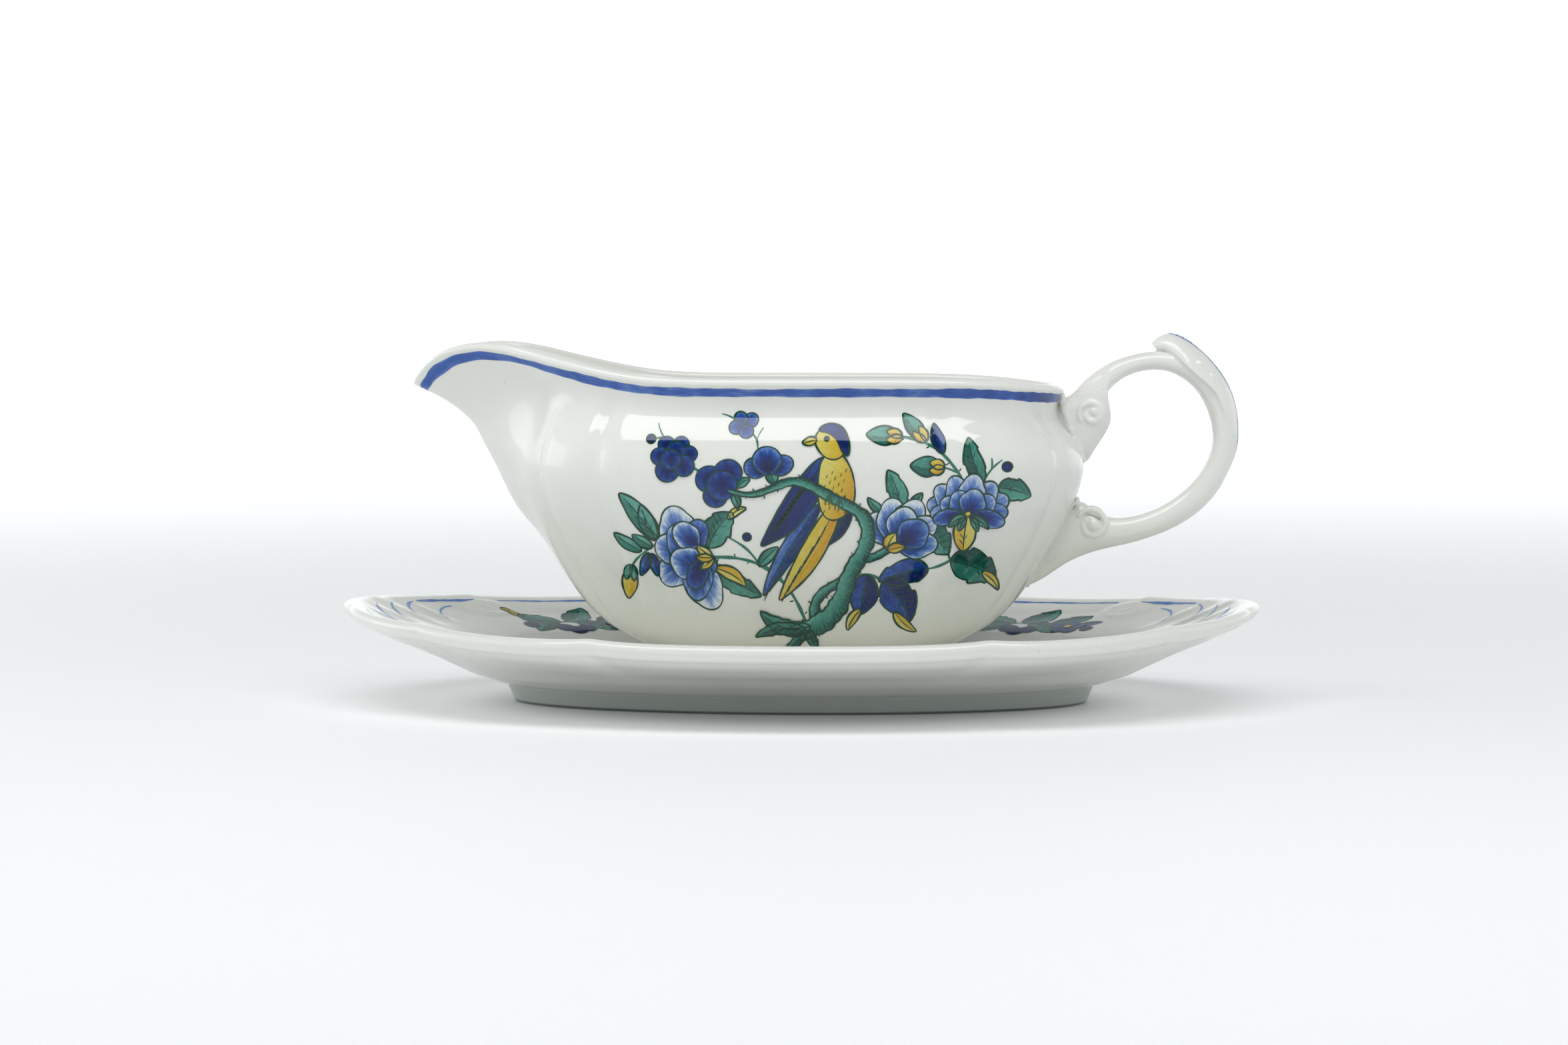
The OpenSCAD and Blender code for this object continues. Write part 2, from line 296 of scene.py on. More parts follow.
def make_saucer():
    top = samples(SAUCER_TOP, TOP_CUTS)
    below = [samples(p, cuts) for p, cuts in zip((SAUCER_FOOT, SAUCER_UNDER, SAUCER_EDGE), SAUCER_CUTS)]
    rows = np.concatenate([*below, top])
    inset, height = rows[:, 0, None], rows[:, 1, None]
    th = turn(SAUCER_AROUND)
    on_top = np.arange(len(rows)) >= len(rows) - len(top)
    raised = end_relief(inset, th) * on_top[:, None]
    return skin_piece("porcelain_saucer", saucer_point(inset, height, th, raised), "saucer")


def make_boat():
    foot = samples(BOAT_FOOT, FOOT_CUTS)
    foot = np.concatenate([foot, np.zeros((len(foot), 1)), np.full((len(foot), 1), 9)], axis=1)
    foot[:, 0] = np.maximum(foot[:, 0], 0)
    out, inn = np.array(BOWL_OUT[-1], float), np.array(BOWL_IN[-1], float)
    rim = []
    for a in np.radians(np.linspace(8, 172, RIM_CUTS)):
        row = out + (inn - out) * (1 - math.cos(a)) / 2
        row[0] = out[0] + RIM_R * math.sin(a)
        rim.append(row)
    rows = np.concatenate([foot, samples(BOWL_OUT, OUT_CUTS), rim, samples(BOWL_IN, IN_CUTS, True)])
    return skin_piece("porcelain_boat", bowl_point(rows[:, None, :], turn(BOAT_AROUND)), "boat_body")


saucer, _ = make_saucer()
boat, place_boat = make_boat()


SCROLL_STEPS = 48
PAINT_ROOM = 0.0001  # metres, for the blue line on the leaf's ridge
FUSE_VOXEL = 0.00026


def tube(path, radius, sides=12):
    """A tapering tube along points, as rings. radius is one number for each point."""
    path = np.asarray(path, float)
    t = np.gradient(path, axis=0)
    t /= np.linalg.norm(t, axis=1)[:, None]
    n = np.cross(t, [0, 1, 0])
    n /= np.linalg.norm(n, axis=1)[:, None]
    b = np.cross(t, n)
    a = 2 * np.pi * np.arange(sides) / sides
    ring = n[:, None, :] * np.cos(a)[None, :, None] + b[:, None, :] * np.sin(a)[None, :, None]
    return path[:, None, :] + ring * np.asarray(radius)[:, None, None]


def scroll(x, z, y, r, start, turns, ridge):
    """A spiral ridge on a root's side: from radius r inward, angles in degrees."""
    k = np.linspace(0, 1, SCROLL_STEPS)
    a = np.radians(start + 360 * turns * k)
    rr = r * (1 - 0.68 * k)
    path = np.stack([x + rr * np.cos(a), np.full(SCROLL_STEPS, y), z + rr * np.sin(a)], axis=1)
    return tube(path, ridge * np.sin(np.linspace(0.5, math.pi - 0.35, SCROLL_STEPS)))


def lump(x, y, z, r):
    """A small rounded blob as rings."""
    p = np.linspace(0.15, np.pi - 0.15, 7)
    path = np.stack([x + 0 * p, y + 0 * p, z + r * np.cos(p)], axis=1)
    return tube(path, r * np.sin(p), 10)


def handle_parts():
    """Skins that overlap: strap, leaf, scrolls, lobes, and slip squeezed out along the seams."""
    rng = np.random.default_rng(7)
    parts = [strap_rings(320, 48), leaf_rings(160, 40)]
    for side in (-1, 1):
        parts.append(scroll(73.0, 73.0, side * 4.25, 3.3, 215, -1.35, 0.95))
        parts.append(lump(73.8, side * 4.0, 73.4, 1.45))
        parts.append(scroll(73.2, 45.2, side * 4.1, 4.1, 150, -1.3, 1.0))
        parts.append(lump(73.6, side * 3.8, 45.0, 1.9))
        # Moulded lobes where the leaf meets the strap.
        for x, z, r in ((99.6, 85.2, 1.5), (102.6, 82.2, 1.3), (104.6, 78.8, 1.15), (105.4, 75.2, 1.0)):
            parts.append(lump(x, side * 3.9, z, r))
    # The slip, down both sides of the upper seam and the lower one.
    for u in (k / 25 for k in range(26)):
        for side in (-1, 1):
            x, z = 65.6 + 5.2 * u**1.4, 77.4 - 16 * u
            parts.append(lump(x, side * (3.5 + 0.5 * rng.random()), z, 0.75 + 0.25 * rng.random()))
            x, z = 57.5 + 11 * u, 30 + 20.5 * u
            parts.append(lump(x - 0.4, side * (3.6 + 0.5 * rng.random()), z, 0.7 + 0.25 * rng.random()))
    for k in range(9):
        x, z = 69.2 + 0.35 * rng.random(), 50.6 + 0.7 * rng.random()
        parts.append(lump(x, -3.6 + 0.9 * k, z, 0.7 + 0.35 * rng.random()))
    return parts


def apply_modifiers(obj):
    dg = bpy.context.evaluated_depsgraph_get()
    mesh = bpy.data.meshes.new_from_object(obj.evaluated_get(dg), depsgraph=dg)
    obj.modifiers.clear()
    old, obj.data = obj.data, mesh
    bpy.data.meshes.remove(old)
    mesh.name = obj.name
    mesh.polygons.foreach_set("use_smooth", [True] * len(mesh.polygons))


def make_handle():
    verts, faces, base = [], [], 0
    for rings in handle_parts():
        v, f = skin_data(rings)
        verts.append(v)
        faces += [[i + base for i in face] for face in f]
        base += len(v)
    name = "porcelain_handle"
    obj = new_object(name, mesh_from(name, np.concatenate(verts) * MM, faces))
    fuse = obj.modifiers.new("fuse", "REMESH")
    fuse.mode, fuse.voxel_size, fuse.use_smooth_shade = "VOXEL", FUSE_VOXEL, True
    soften = obj.modifiers.new("glaze", "SMOOTH")
    soften.factor, soften.iterations = 0.5, 7
    apply_modifiers(obj)
    co = np.empty(len(obj.data.vertices) * 3, np.float32)
    obj.data.vertices.foreach_get("co", co)
    co = co.reshape(-1, 3)
    place = fit_to(co.astype(float), "handle", PAINT_ROOM)
    obj.data.vertices.foreach_set("co", place(co).astype(np.float32).ravel())
    obj.data.update()
    return obj, place


handle, place_handle = make_handle()

# ------------------------------------------------------------------ materials


class Nodes:
    """A small builder of node materials. A value is a socket to link or a number to set."""

    def __init__(self, name):
        self.mat = bpy.data.materials.new(name)
        self.mat.use_nodes = True
        self.tree = self.mat.node_tree
        self.bsdf = self.tree.nodes["Principled BSDF"]
        self.place = self.add("ShaderNodeTexCoord").outputs["Object"]

    def add(self, kind, **inputs):
        node = self.tree.nodes.new(kind)
        for key, value in inputs.items():
            self.feed(node.inputs[key.replace("_", " ")], value)
        return node

    def feed(self, socket, value):
        if hasattr(value, "links"):
            self.tree.links.new(value, socket)
        else:
            socket.default_value = value

    def surface(self, **inputs):
        for key, value in inputs.items():
            self.feed(self.bsdf.inputs[key.replace("_", " ")], value)

    def noise(self, scale, detail=4.0, rough=0.55, place=None):
        return self.add("ShaderNodeTexNoise", Vector=self.place if place is None else place,
                        Scale=scale, Detail=detail, Roughness=rough).outputs["Fac"]

    def ramp(self, value, stops):
        node = self.add("ShaderNodeValToRGB", Fac=value)
        ramp = node.color_ramp
        while len(ramp.elements) < len(stops):
            ramp.elements.new(0.5)
        for element, (at, colour) in zip(ramp.elements, stops):
            element.position = at
            element.color = (*colour, 1)
        return node.outputs["Color"]

    def compute(self, kind, operation, *values):
        """A maths node, "Math" or "VectorMath"."""
        node = self.add("ShaderNode" + kind)
        node.operation = operation
        for socket, value in zip(node.inputs, values):
            self.feed(socket, value)
        return node.outputs["Vector" if (kind, operation) == ("VectorMath", "MULTIPLY") else "Value"]

    def spread(self, value, first, last, low=0.0, high=1.0, interpolation="LINEAR"):
        """Maps the range first to last on to low to high."""
        node = self.add("ShaderNodeMapRange", Value=value, From_Min=first, From_Max=last,
                        To_Min=low, To_Max=high)
        node.interpolation_type = interpolation
        return node.outputs["Result"]

    def height(self):
        return self.add("ShaderNodeSeparateXYZ", Vector=self.place).outputs["Z"]

    def mix(self, fac, a, b, mode="MIX"):
        node = self.add("ShaderNodeMix")
        node.data_type, node.blend_type = "RGBA", mode
        for socket, value in zip([s for s in node.inputs if s.enabled], (fac, a, b)):
            self.feed(socket, value)
        return [s for s in node.outputs if s.enabled][0]

    def bump(self, heights):
        """Bump from (value, strength, distance in metres), stacked."""
        normal = None
        for value, strength, distance in heights:
            node = self.add("ShaderNodeBump", Strength=strength, Distance=distance, Height=value)
            if normal is not None:
                self.feed(node.inputs["Normal"], normal)
            normal = node.outputs["Normal"]
        self.surface(Normal=normal)

    def glossy(self, low, high):
        """The glaze's own surface: uneven gloss, a slow ripple and a fine orange-peel."""
        self.surface(Roughness=self.ramp(self.noise(220, 3), [(0.3, (low,) * 3), (0.75, (high,) * 3)]),
                     IOR=GLAZE_IOR)
        self.bump([(self.noise(60, 2), 0.10, 0.0006), (self.noise(420, 2), 0.06, 0.0002)])


GLAZE_IOR = 1.52


def porcelain(name, height, stops):
    """White glaze over a slightly warm body: faint clouding, pinholes and an orange-peel surface.

    The stops tint it from the table up to the height, in metres.
    """
    n = Nodes(name)
    cloud = n.ramp(n.noise(38, 5), [(0.3, (0.780, 0.786, 0.742)), (0.7, (0.806, 0.812, 0.772))])
    specks = n.ramp(n.noise(1500, 1, 0.3), [
        (0.0, (0.50, 0.48, 0.44)), (0.185, (0.75, 0.73, 0.70)), (0.215, (1, 1, 1))])
    glazed = n.mix(1.0, cloud, specks, "MULTIPLY")
    tint = n.ramp(n.spread(n.height(), 0.0, height), stops)
    n.surface(Base_Color=n.mix(1.0, glazed, tint, "MULTIPLY"), Subsurface_Weight=0.15,
              Subsurface_Radius=(1.0, 0.9, 0.75), Subsurface_Scale=0.0025)
    n.glossy(0.045, 0.085)
    return n.mat


# Painted shade: the saucer's foot ring is darkened from the table up, darkest along its lower edge
# where it meets the table.
saucer_glaze_shaded_foot = porcelain("saucer_glaze_shaded_foot", 0.006, [
    (0.0, (0.13, 0.14, 0.14)), (0.09, (0.16, 0.17, 0.17)), (0.16, (0.52, 0.56, 0.55)),
    (0.66, (0.60, 0.63, 0.62)), (0.95, (1, 1, 1))])
# The glaze is tinted creamier low on the boat, fading to white higher up.
boat_glaze = porcelain("boat_glaze", 0.06, [
    (0.15, (0.955, 0.96, 0.865)), (0.45, (0.965, 0.97, 0.92)), (0.85, (1, 1, 1))])
for piece, node, body, material_slot, glaze in (
        (saucer, "saucer", "saucer", "saucer", saucer_glaze_shaded_foot),
        (boat, "boat_body", "boat", "boat_body", boat_glaze),
        (handle, "handle", "boat", "handle", boat_glaze)):
    piece.data.materials.append(glaze)
    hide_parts(node)
    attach(piece, body)

# ------------------------------------------------------------------ painting
LINE, GRID, FIRST_LAYER, LAYER = 0.44, 0.7, 0.03, 0.02  # mm
WAVER = 0.12  # of a line's width
hand = np.random.default_rng(11)


def smooth(points, spacing=0.5, closed=False):
    """Evenly spaced points on a smooth curve through the points."""
    p = np.array(points, float)
    n = len(p)
    if closed:
        p = np.concatenate([p[-3:], p, p[:3]])
    c = controls(p)
    fine = on_spline(c, np.linspace(*((3, n + 3) if closed else (0, n - 1)), 24 * n + 1))
    length = np.concatenate([[0], np.cumsum(np.linalg.norm(np.diff(fine[:, :2], axis=0), axis=1))])
    steps = max(4, int(length[-1] / spacing))
    at = np.linspace(0, length[-1], steps + 1)
    even = np.stack([np.interp(at, length, fine[:, k]) for k in range(fine.shape[1])], axis=1)
    return even[:-1] if closed else even


def pairs(a, b):
    return np.stack([a, b], axis=1)


def left_of(v):
    return np.stack([-v[..., 1], v[..., 0]], axis=-1)


def sideways(t):
    """Unit vectors to the left of the steps along a path."""
    return left_of(t / np.maximum(np.linalg.norm(t, axis=1)[:, None], 1e-9))


def polar(centre, outline):
    """For points inside an outline: how far out they are, 0 to 1, and their angle."""
    d = outline - centre
    angle, reach = np.arctan2(d[:, 1], d[:, 0]), np.linalg.norm(d, axis=1)
    order = np.argsort(angle)
    angle, reach = angle[order], reach[order]

    def share(p):
        q = p - centre
        a = np.arctan2(q[:, 1], q[:, 0])
        edge = np.interp(a, angle, reach, period=2 * math.pi)
        return np.clip(np.linalg.norm(q, axis=1) / np.maximum(edge, 1e-6), 0, 1), a
    return share


def inside_points(outline, spacing):
    """Grid points inside an outline and clear of it."""
    lo, hi = outline.min(axis=0), outline.max(axis=0)
    gx, gy = np.meshgrid(*(np.arange(lo[k] + spacing / 2, hi[k], spacing) for k in (0, 1)))
    p = np.stack([gx.ravel(), gy.ravel()], axis=1)
    a, b = outline, np.roll(outline, -1, axis=0)
    x, y = p[:, 0, None], p[:, 1, None]
    rise = np.where(b[:, 1] == a[:, 1], 1e-12, b[:, 1] - a[:, 1])
    beyond = x < (b[:, 0] - a[:, 0]) * (y - a[:, 1]) / rise + a[:, 0]
    crosses = ((a[:, 1] > y) != (b[:, 1] > y)) & beyond
    clear = np.hypot(x - a[:, 0], y - a[:, 1]).min(axis=1) > spacing * 0.45
    return p[(crosses.sum(axis=1) % 2 == 1) & clear]


class Painter:
    """Paint on the glaze of one piece: flat shapes, in mm, laid on it, as one mesh a colour."""

    def __init__(self, piece, views):
        mesh = piece.data
        self.corners = [tuple(p.vertices) for p in mesh.polygons]
        self.points = [v.co.copy() for v in mesh.vertices]
        self.normals = [v.normal.copy() for v in mesh.vertices]
        self.tree = BVHTree.FromPolygons(self.points, self.corners)
        self.views = views
        self.paint = {}

    def surface(self, hit, index):
        corners = self.corners[index]
        weights = poly_3d_calc([self.points[i] for i in corners], hit)
        normal = Vector((0, 0, 0))
        for i, w in zip(corners, weights):
            normal += self.normals[i] * w
        return normal.normalized()

    def store(self, colour, hits, faces, tint, brush, layer):
        """Adds one shape: hits are (place, face) on the surface, or None where it missed."""
        rows = self.paint.setdefault(colour, ([], [], [], [], []))
        base, known = len(rows[0]), {}
        for k, (place, index) in enumerate(hits):
            if place is None:
                continue
            normal = self.surface(place, index)
            known[k] = base + len(known)
            rows[0].append(place + normal * ((FIRST_LAYER + LAYER * layer) * MM))
            rows[1].append(normal)
            rows[2].append(float(tint[k]))
            rows[3].append((float(brush[k][0]), float(brush[k][1]), 0.0))
        for face in faces:
            if all(i in known for i in face):
                ids = [known[i] for i in face]
                a, b, c = (rows[0][i] for i in ids[:3])
                outward = (b - a).cross(c - a).dot(rows[1][ids[0]]) > 0
                rows[4].append(ids if outward else ids[::-1])

    def flat(self, colour, points, faces, tint, brush, layer):
        for view in self.views:
            hits = []
            for p in points:
                start, along = view(p)
                place, _, index, _ = self.tree.ray_cast(start, along)
                hits.append((place, index))
            self.store(colour, hits, faces, tint, brush, layer)

    def near(self, colour, points, faces, tint, brush, layer=0.5):
        """Points in metres, moved on to the nearest place of the surface."""
        hits = [self.tree.find_nearest(Vector(p)) for p in points]
        self.store(colour, [(h[0], h[2]) for h in hits], faces, tint, brush, layer)

    def fill(self, colour, outline, shade, layer):
        flat = np.concatenate([outline, inside_points(outline, GRID)])
        found = delaunay_2d_cdt([Vector(p) for p in flat], [], [list(range(len(outline)))], 1, 1e-6)
        points = np.array([v[:] for v in found[0]])
        faces = []
        for a, b, c in found[2]:
            u, v = points[b] - points[a], points[c] - points[a]
            faces.append((a, b, c) if u[0] * v[1] > u[1] * v[0] else (a, c, b))
        tint, brush = shade(points)
        self.flat(colour, points, faces, np.clip(tint, 0, 1), brush, layer)

    def outlined(self, colour, outline, shade, layer, width=LINE):
        self.fill(colour, outline, shade, layer)
        self.line(outline, width, layer + 0.5, closed=True)

    def line(self, points, width=LINE, layer=0.5, colour="line", closed=False, taper=0.55, tint=0.5):
        """A brush line that thins to its ends and wavers a little."""
        p = smooth(points, 0.45, closed) if len(points) > 2 else np.linspace(points[0], points[1], 6)
        n = len(p)
        t = np.roll(p, -1, 0) - np.roll(p, 1, 0) if closed else np.gradient(p, axis=0)
        side = sideways(t)
        s = np.linspace(0, 1, n)
        ends = 1.0 if closed else 1 - taper + taper * np.sin(math.pi * np.clip(s, 0.02, 0.98)) ** 0.6
        phase = hand.uniform(0, 6.28, 3)
        sway = 1 + 0.22 * np.sin(n * s * 0.21 + phase[0]) + 0.12 * np.sin(n * s * 0.63 + phase[1])
        half = (np.broadcast_to(width, n) / 2 * ends * sway)[:, None]
        p = p + side * (WAVER * LINE * np.sin(n * s * 0.17 + phase[2]))[:, None]
        rows = np.stack([p - side * half, p, p + side * half], axis=1).reshape(-1, 2)
        faces = []
        for i in range(n if closed else n - 1):
            a, b = 3 * i, 3 * ((i + 1) % n)
            for k in (0, 1):
                faces.append((a + k, b + k, b + k + 1, a + k + 1))
        brush = pairs(np.tile([-1.0, 0.0, 1.0], n), np.repeat(s * n * 0.45, 3))
        self.flat(colour, rows, faces, np.full(3 * n, tint), brush, layer)

    # Motifs.
    def leaf(self, base, tip, width, bend, light, colour="teal", layer=1, teeth=0, hatch=0, rib=True):
        """A pointed leaf, bent by so many mm, with teeth on its edge and hatching on its blade."""
        base, tip = np.array(base, float), np.array(tip, float)
        size = np.linalg.norm(tip - base)
        axis = (tip - base) / size
        across = left_of(axis)
        s = np.linspace(0, 1, 37)
        mid = base + s[:, None] * size * axis + (4 * bend * s * (1 - s))[:, None] * across
        t = np.gradient(mid, axis=0)
        side = sideways(t)

        def half(u):
            u = np.clip(u, 0, 1)
            return width / 2 * u**0.62 * (1 - u) ** 0.78 / 0.3824
        notch = 1 - (0.2 * np.mod(s * teeth, 1) * (s > 0.25) if teeth else 0.03 * np.sin(9 * s))
        notch_b = 1 - (0.2 * np.mod(s * teeth + 0.5, 1) * (s > 0.2) if teeth else 0.03 * np.cos(8 * s))
        w = half(s)[:, None]
        outline = np.concatenate([mid + side * w * notch[:, None],
                                  (mid - side * w * notch_b[:, None])[-2:0:-1]])

        def shade(p):
            d = p - base
            a = d @ axis / size
            c = (d @ across - 4 * bend * a * (1 - a)) / np.maximum(half(a), 0.3)
            dark = 0.3 * ease((c + 0.1) * 3) + 0.3 * np.clip(0.55 - a, 0, 1)
            return light - dark, pairs(c * 2 + a * 1.5, a * 3)
        self.outlined(colour, outline, shade, layer)
        if rib:
            self.line([base, mid[12], mid[24], mid[32]], 0.3, layer + 0.5)
        for k in range(hatch):
            u = 0.16 + 0.13 * k
            at = base + u * size * axis + 4 * bend * u * (1 - u) * across
            reach = half(u) * (0.62 + 0.15 * math.sin(5.0 * k))
            end = at + across * reach + axis * size * 0.13
            self.line([at + 0.1 * (end - at), end], 0.26, layer + 0.5)
            if k % 2:
                end = at - across * reach * 0.6 + axis * size * 0.12
                self.line([at + 0.15 * (end - at), end], 0.2, layer + 0.5)

    def petal(self, base, angle, length, width, lobes, layer, tone):
        """A blue petal, dark at its base: tone is the tint there and at its edge."""
        a = math.radians(angle)
        along = np.array([math.cos(a), math.sin(a)])
        across = left_of(along)
        base = np.array(base, float)
        t = np.linspace(-math.pi, math.pi, max(28, int(3.4 * (length + width))), endpoint=False)
        outer = ease((math.pi * 0.68 - np.abs(t)) / 0.8)
        ripple = np.abs(np.cos(t * lobes / 2 * 1.15)) - 0.6 if lobes > 1 else 0 * t
        wave = 1 + 0.11 * outer * ripple
        narrow = 1 - 0.25 * ease((np.abs(t) - 1.6) / 1.2)
        u = length * (0.5 + 0.5 * np.cos(t) * wave)
        v = width / 2 * np.sin(t) * wave * narrow
        outline = base + u[:, None] * along + v[:, None] * across
        share = polar(base + along * length * 0.04, outline)

        def shade(p):
            r, angle_at = share(p)
            return tone[0] + (tone[1] - tone[0]) * r**1.6, pairs(angle_at * 5, r * 1.2)
        self.outlined("blue", outline, shade, layer, LINE * 0.85)

    def blossom(self, centre, layer, petals):
        """Petals from the back to the front, as in BLOSSOMS."""
        for k, (angle, length, width, lobes, dark, pale, *shift) in enumerate(petals):
            dx, dz = shift or (0, 0)
            base = (centre[0] + dx, centre[1] + dz)
            self.petal(base, angle, length, width, lobes, layer + k, (dark, pale))

    def ball(self, centre, radius, colour, layer, tone):
        t = np.linspace(0, 2 * math.pi, 20, endpoint=False)
        centre = np.array(centre, float)
        outline = centre + radius * pairs(np.cos(t) * 1.04, np.sin(t))
        share = polar(centre, outline)

        def shade(p):
            r, a = share(p)
            return tone[0] + (tone[1] - tone[0]) * r, pairs(a, r)
        self.outlined(colour, outline, shade, layer, LINE * 0.8)

    def bud(self, base, tip, width, light, colour, calyx_colour):
        self.leaf(base, tip, width, 0, light, colour, 1, rib=False)
        base, tip = np.array(base, float), np.array(tip, float)
        cup = base + (tip - base) * 0.4
        side = left_of(tip - base) * 0.12
        for s in (-1, 1):
            self.leaf(base - 0.08 * (tip - base), cup + s * side, width * 0.5, s * 0.3, 0.7,
                      calyx_colour, 2, rib=False)

    def blob(self, points, colour, layer, start, end, tone):
        """A closed smooth shape, shaded from the start to the end."""
        outline = smooth(points, 0.45, True)
        start, end = np.array(start, float), np.array(end, float)
        size = np.linalg.norm(end - start)
        axis = (end - start) / size

        def shade(p):
            a = np.clip((p - start) @ axis / size, 0, 1)
            brush = pairs((p - start) @ left_of(axis) * 1.6, a * 2)
            return tone[0] + (tone[1] - tone[0]) * a, brush
        self.outlined(colour, outline, shade, layer)

    def stem(self, points, width, layer, colour, thorns=0, edge=0.0):
        """A stem or branch: rows (x, y, share of the width)."""
        p = smooth(points, 0.5)
        t = np.gradient(p[:, :2], axis=0)
        side = sideways(t)
        half = width / 2 * p[:, 2]
        sway = 1 + 0.08 * np.sin(np.arange(len(p)) * 0.55) + 0.06 * np.sin(np.arange(len(p)) * 1.3)
        half = (half * sway)[:, None]
        flat = p[:, :2]
        outline = np.concatenate([flat + side * half, (flat - side * half)[::-1]])
        total = len(p)
        if edge:
            def shade(q):
                near = ((q[:, None, :] - flat[None]) ** 2).sum(axis=2)
                k = near.argmin(axis=1)
                c = np.einsum("ij,ij->i", q - flat[k], side[k]) / np.maximum(half[k, 0], 0.2)
                return 0.46 + 0.3 * c, pairs(c * 1.2, k * 0.25)
            self.fill(colour, outline, shade, layer)
            self.line(outline[:total], edge, layer + 0.5, taper=0.2)
            self.line(outline[total:], edge * 1.25, layer + 0.5, taper=0.2)
            for k in range(3, total - 3, 2):
                c = -0.9 if k % 4 else -0.55
                a = flat[k] + side[k] * half[k] * c
                b = flat[k + 1] + side[k + 1] * half[k + 1] * (c + 0.55)
                self.line([a, b], 0.24, layer + 0.5)
        else:
            self.line(flat, 2 * half[:, 0].mean(), layer, colour, taper=0.35)
        for k in range(thorns):
            i = int((k + 0.5) * total / thorns)
            out = side[i] * (1 if k % 2 else -1)
            a = flat[i] + out * half[i] * 0.9
            slant = t[i] / np.linalg.norm(t[i]) * 0.35
            self.line([a, a + out * (0.75 + 0.25 * math.sin(k)) + slant], 0.28, layer + 0.5)

    def finish(self, names, body):
        for colour, (places, normals, tint, brush, faces) in self.paint.items():
            mesh = mesh_from(names + colour, [tuple(p) for p in places], faces)
            mesh.attributes.new("tint", "FLOAT", "POINT").data.foreach_set("value", tint)
            flat = [c for row in brush for c in row]
            mesh.attributes.new("brush", "FLOAT_VECTOR", "POINT").data.foreach_set("vector", flat)
            mesh.normals_split_custom_set_from_vertices([tuple(n) for n in normals])
            mesh.materials.append(LOOKS[colour])
            obj = new_object(mesh.name, mesh)
            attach(obj, body)


def paint_look(name, stops, streaks=0.3, cloud=0.12):
    """Ceramic colour on the glaze: brush streaks, clouding and the same glossy surface."""
    n = Nodes(name)
    tint, brush = n.add("ShaderNodeAttribute"), n.add("ShaderNodeAttribute")
    tint.attribute_name, brush.attribute_name = "tint", "brush"
    value = tint.outputs["Fac"]
    for noise, strength in ((n.noise(1.6, 3, 0.6, brush.outputs["Vector"]), streaks),
                            (n.noise(700, 2), cloud)):
        swing = n.compute("Math", "MULTIPLY_ADD", noise, 2 * strength, -strength)
        value = n.compute("Math", "ADD", value, swing)
    n.surface(Base_Color=n.ramp(value, stops))
    n.glossy(0.05, 0.09)
    return n.mat


LOOKS = {
    "blue": paint_look("cobalt_shaded", [
        (0.0, (0.002, 0.006, 0.048)), (0.3, (0.003, 0.018, 0.135)), (0.58, (0.022, 0.080, 0.32)),
        (0.8, (0.14, 0.26, 0.53)), (1.0, (0.64, 0.70, 0.73))]),
    "teal": paint_look("teal_wash", [
        (0.0, (0.006, 0.048, 0.038)), (0.35, (0.022, 0.15, 0.112)), (0.7, (0.09, 0.32, 0.25)),
        (1.0, (0.29, 0.52, 0.43))]),
    "stem": paint_look("stem_green", [
        (0.0, (0.008, 0.05, 0.035)), (0.5, (0.03, 0.16, 0.11)), (1.0, (0.12, 0.33, 0.24))]),
    "yellow": paint_look("yellow_wash", [
        (0.0, (0.22, 0.11, 0.012)), (0.3, (0.52, 0.27, 0.014)), (0.62, (0.58, 0.43, 0.045)),
        (1.0, (0.62, 0.60, 0.19))]),
    "line": paint_look("dark_outline", [
        (0.0, (0.002, 0.018, 0.012)), (0.6, (0.008, 0.055, 0.032)), (1.0, (0.03, 0.12, 0.07))]),
    "rim": paint_look("cobalt_line", [
        (0.0, (0.008, 0.022, 0.17)), (0.5, (0.028, 0.098, 0.40)), (1.0, (0.22, 0.36, 0.66))], 0.35),
}

# The boat's decoration: a bird on a thorny branch among blossoms, in mm, seen from the front.
# The same design turned round covers the far side.
MIDDLE, CLEAR_SIDE, CLEAR_TOP = 6.5, 0.2, 0.06  # the design's middle in mm, then metres


def from_front(p):
    return Vector((p[0] * MM, -CLEAR_SIDE, p[1] * MM)), Vector((0, 1, 0))


def from_behind(p):
    return Vector(((2 * MIDDLE - p[0]) * MM, CLEAR_SIDE, p[1] * MM)), Vector((0, -1, 0))


def from_above(p):
    return Vector((p[0] * MM, p[1] * MM, CLEAR_TOP)), Vector((0, 0, -1))


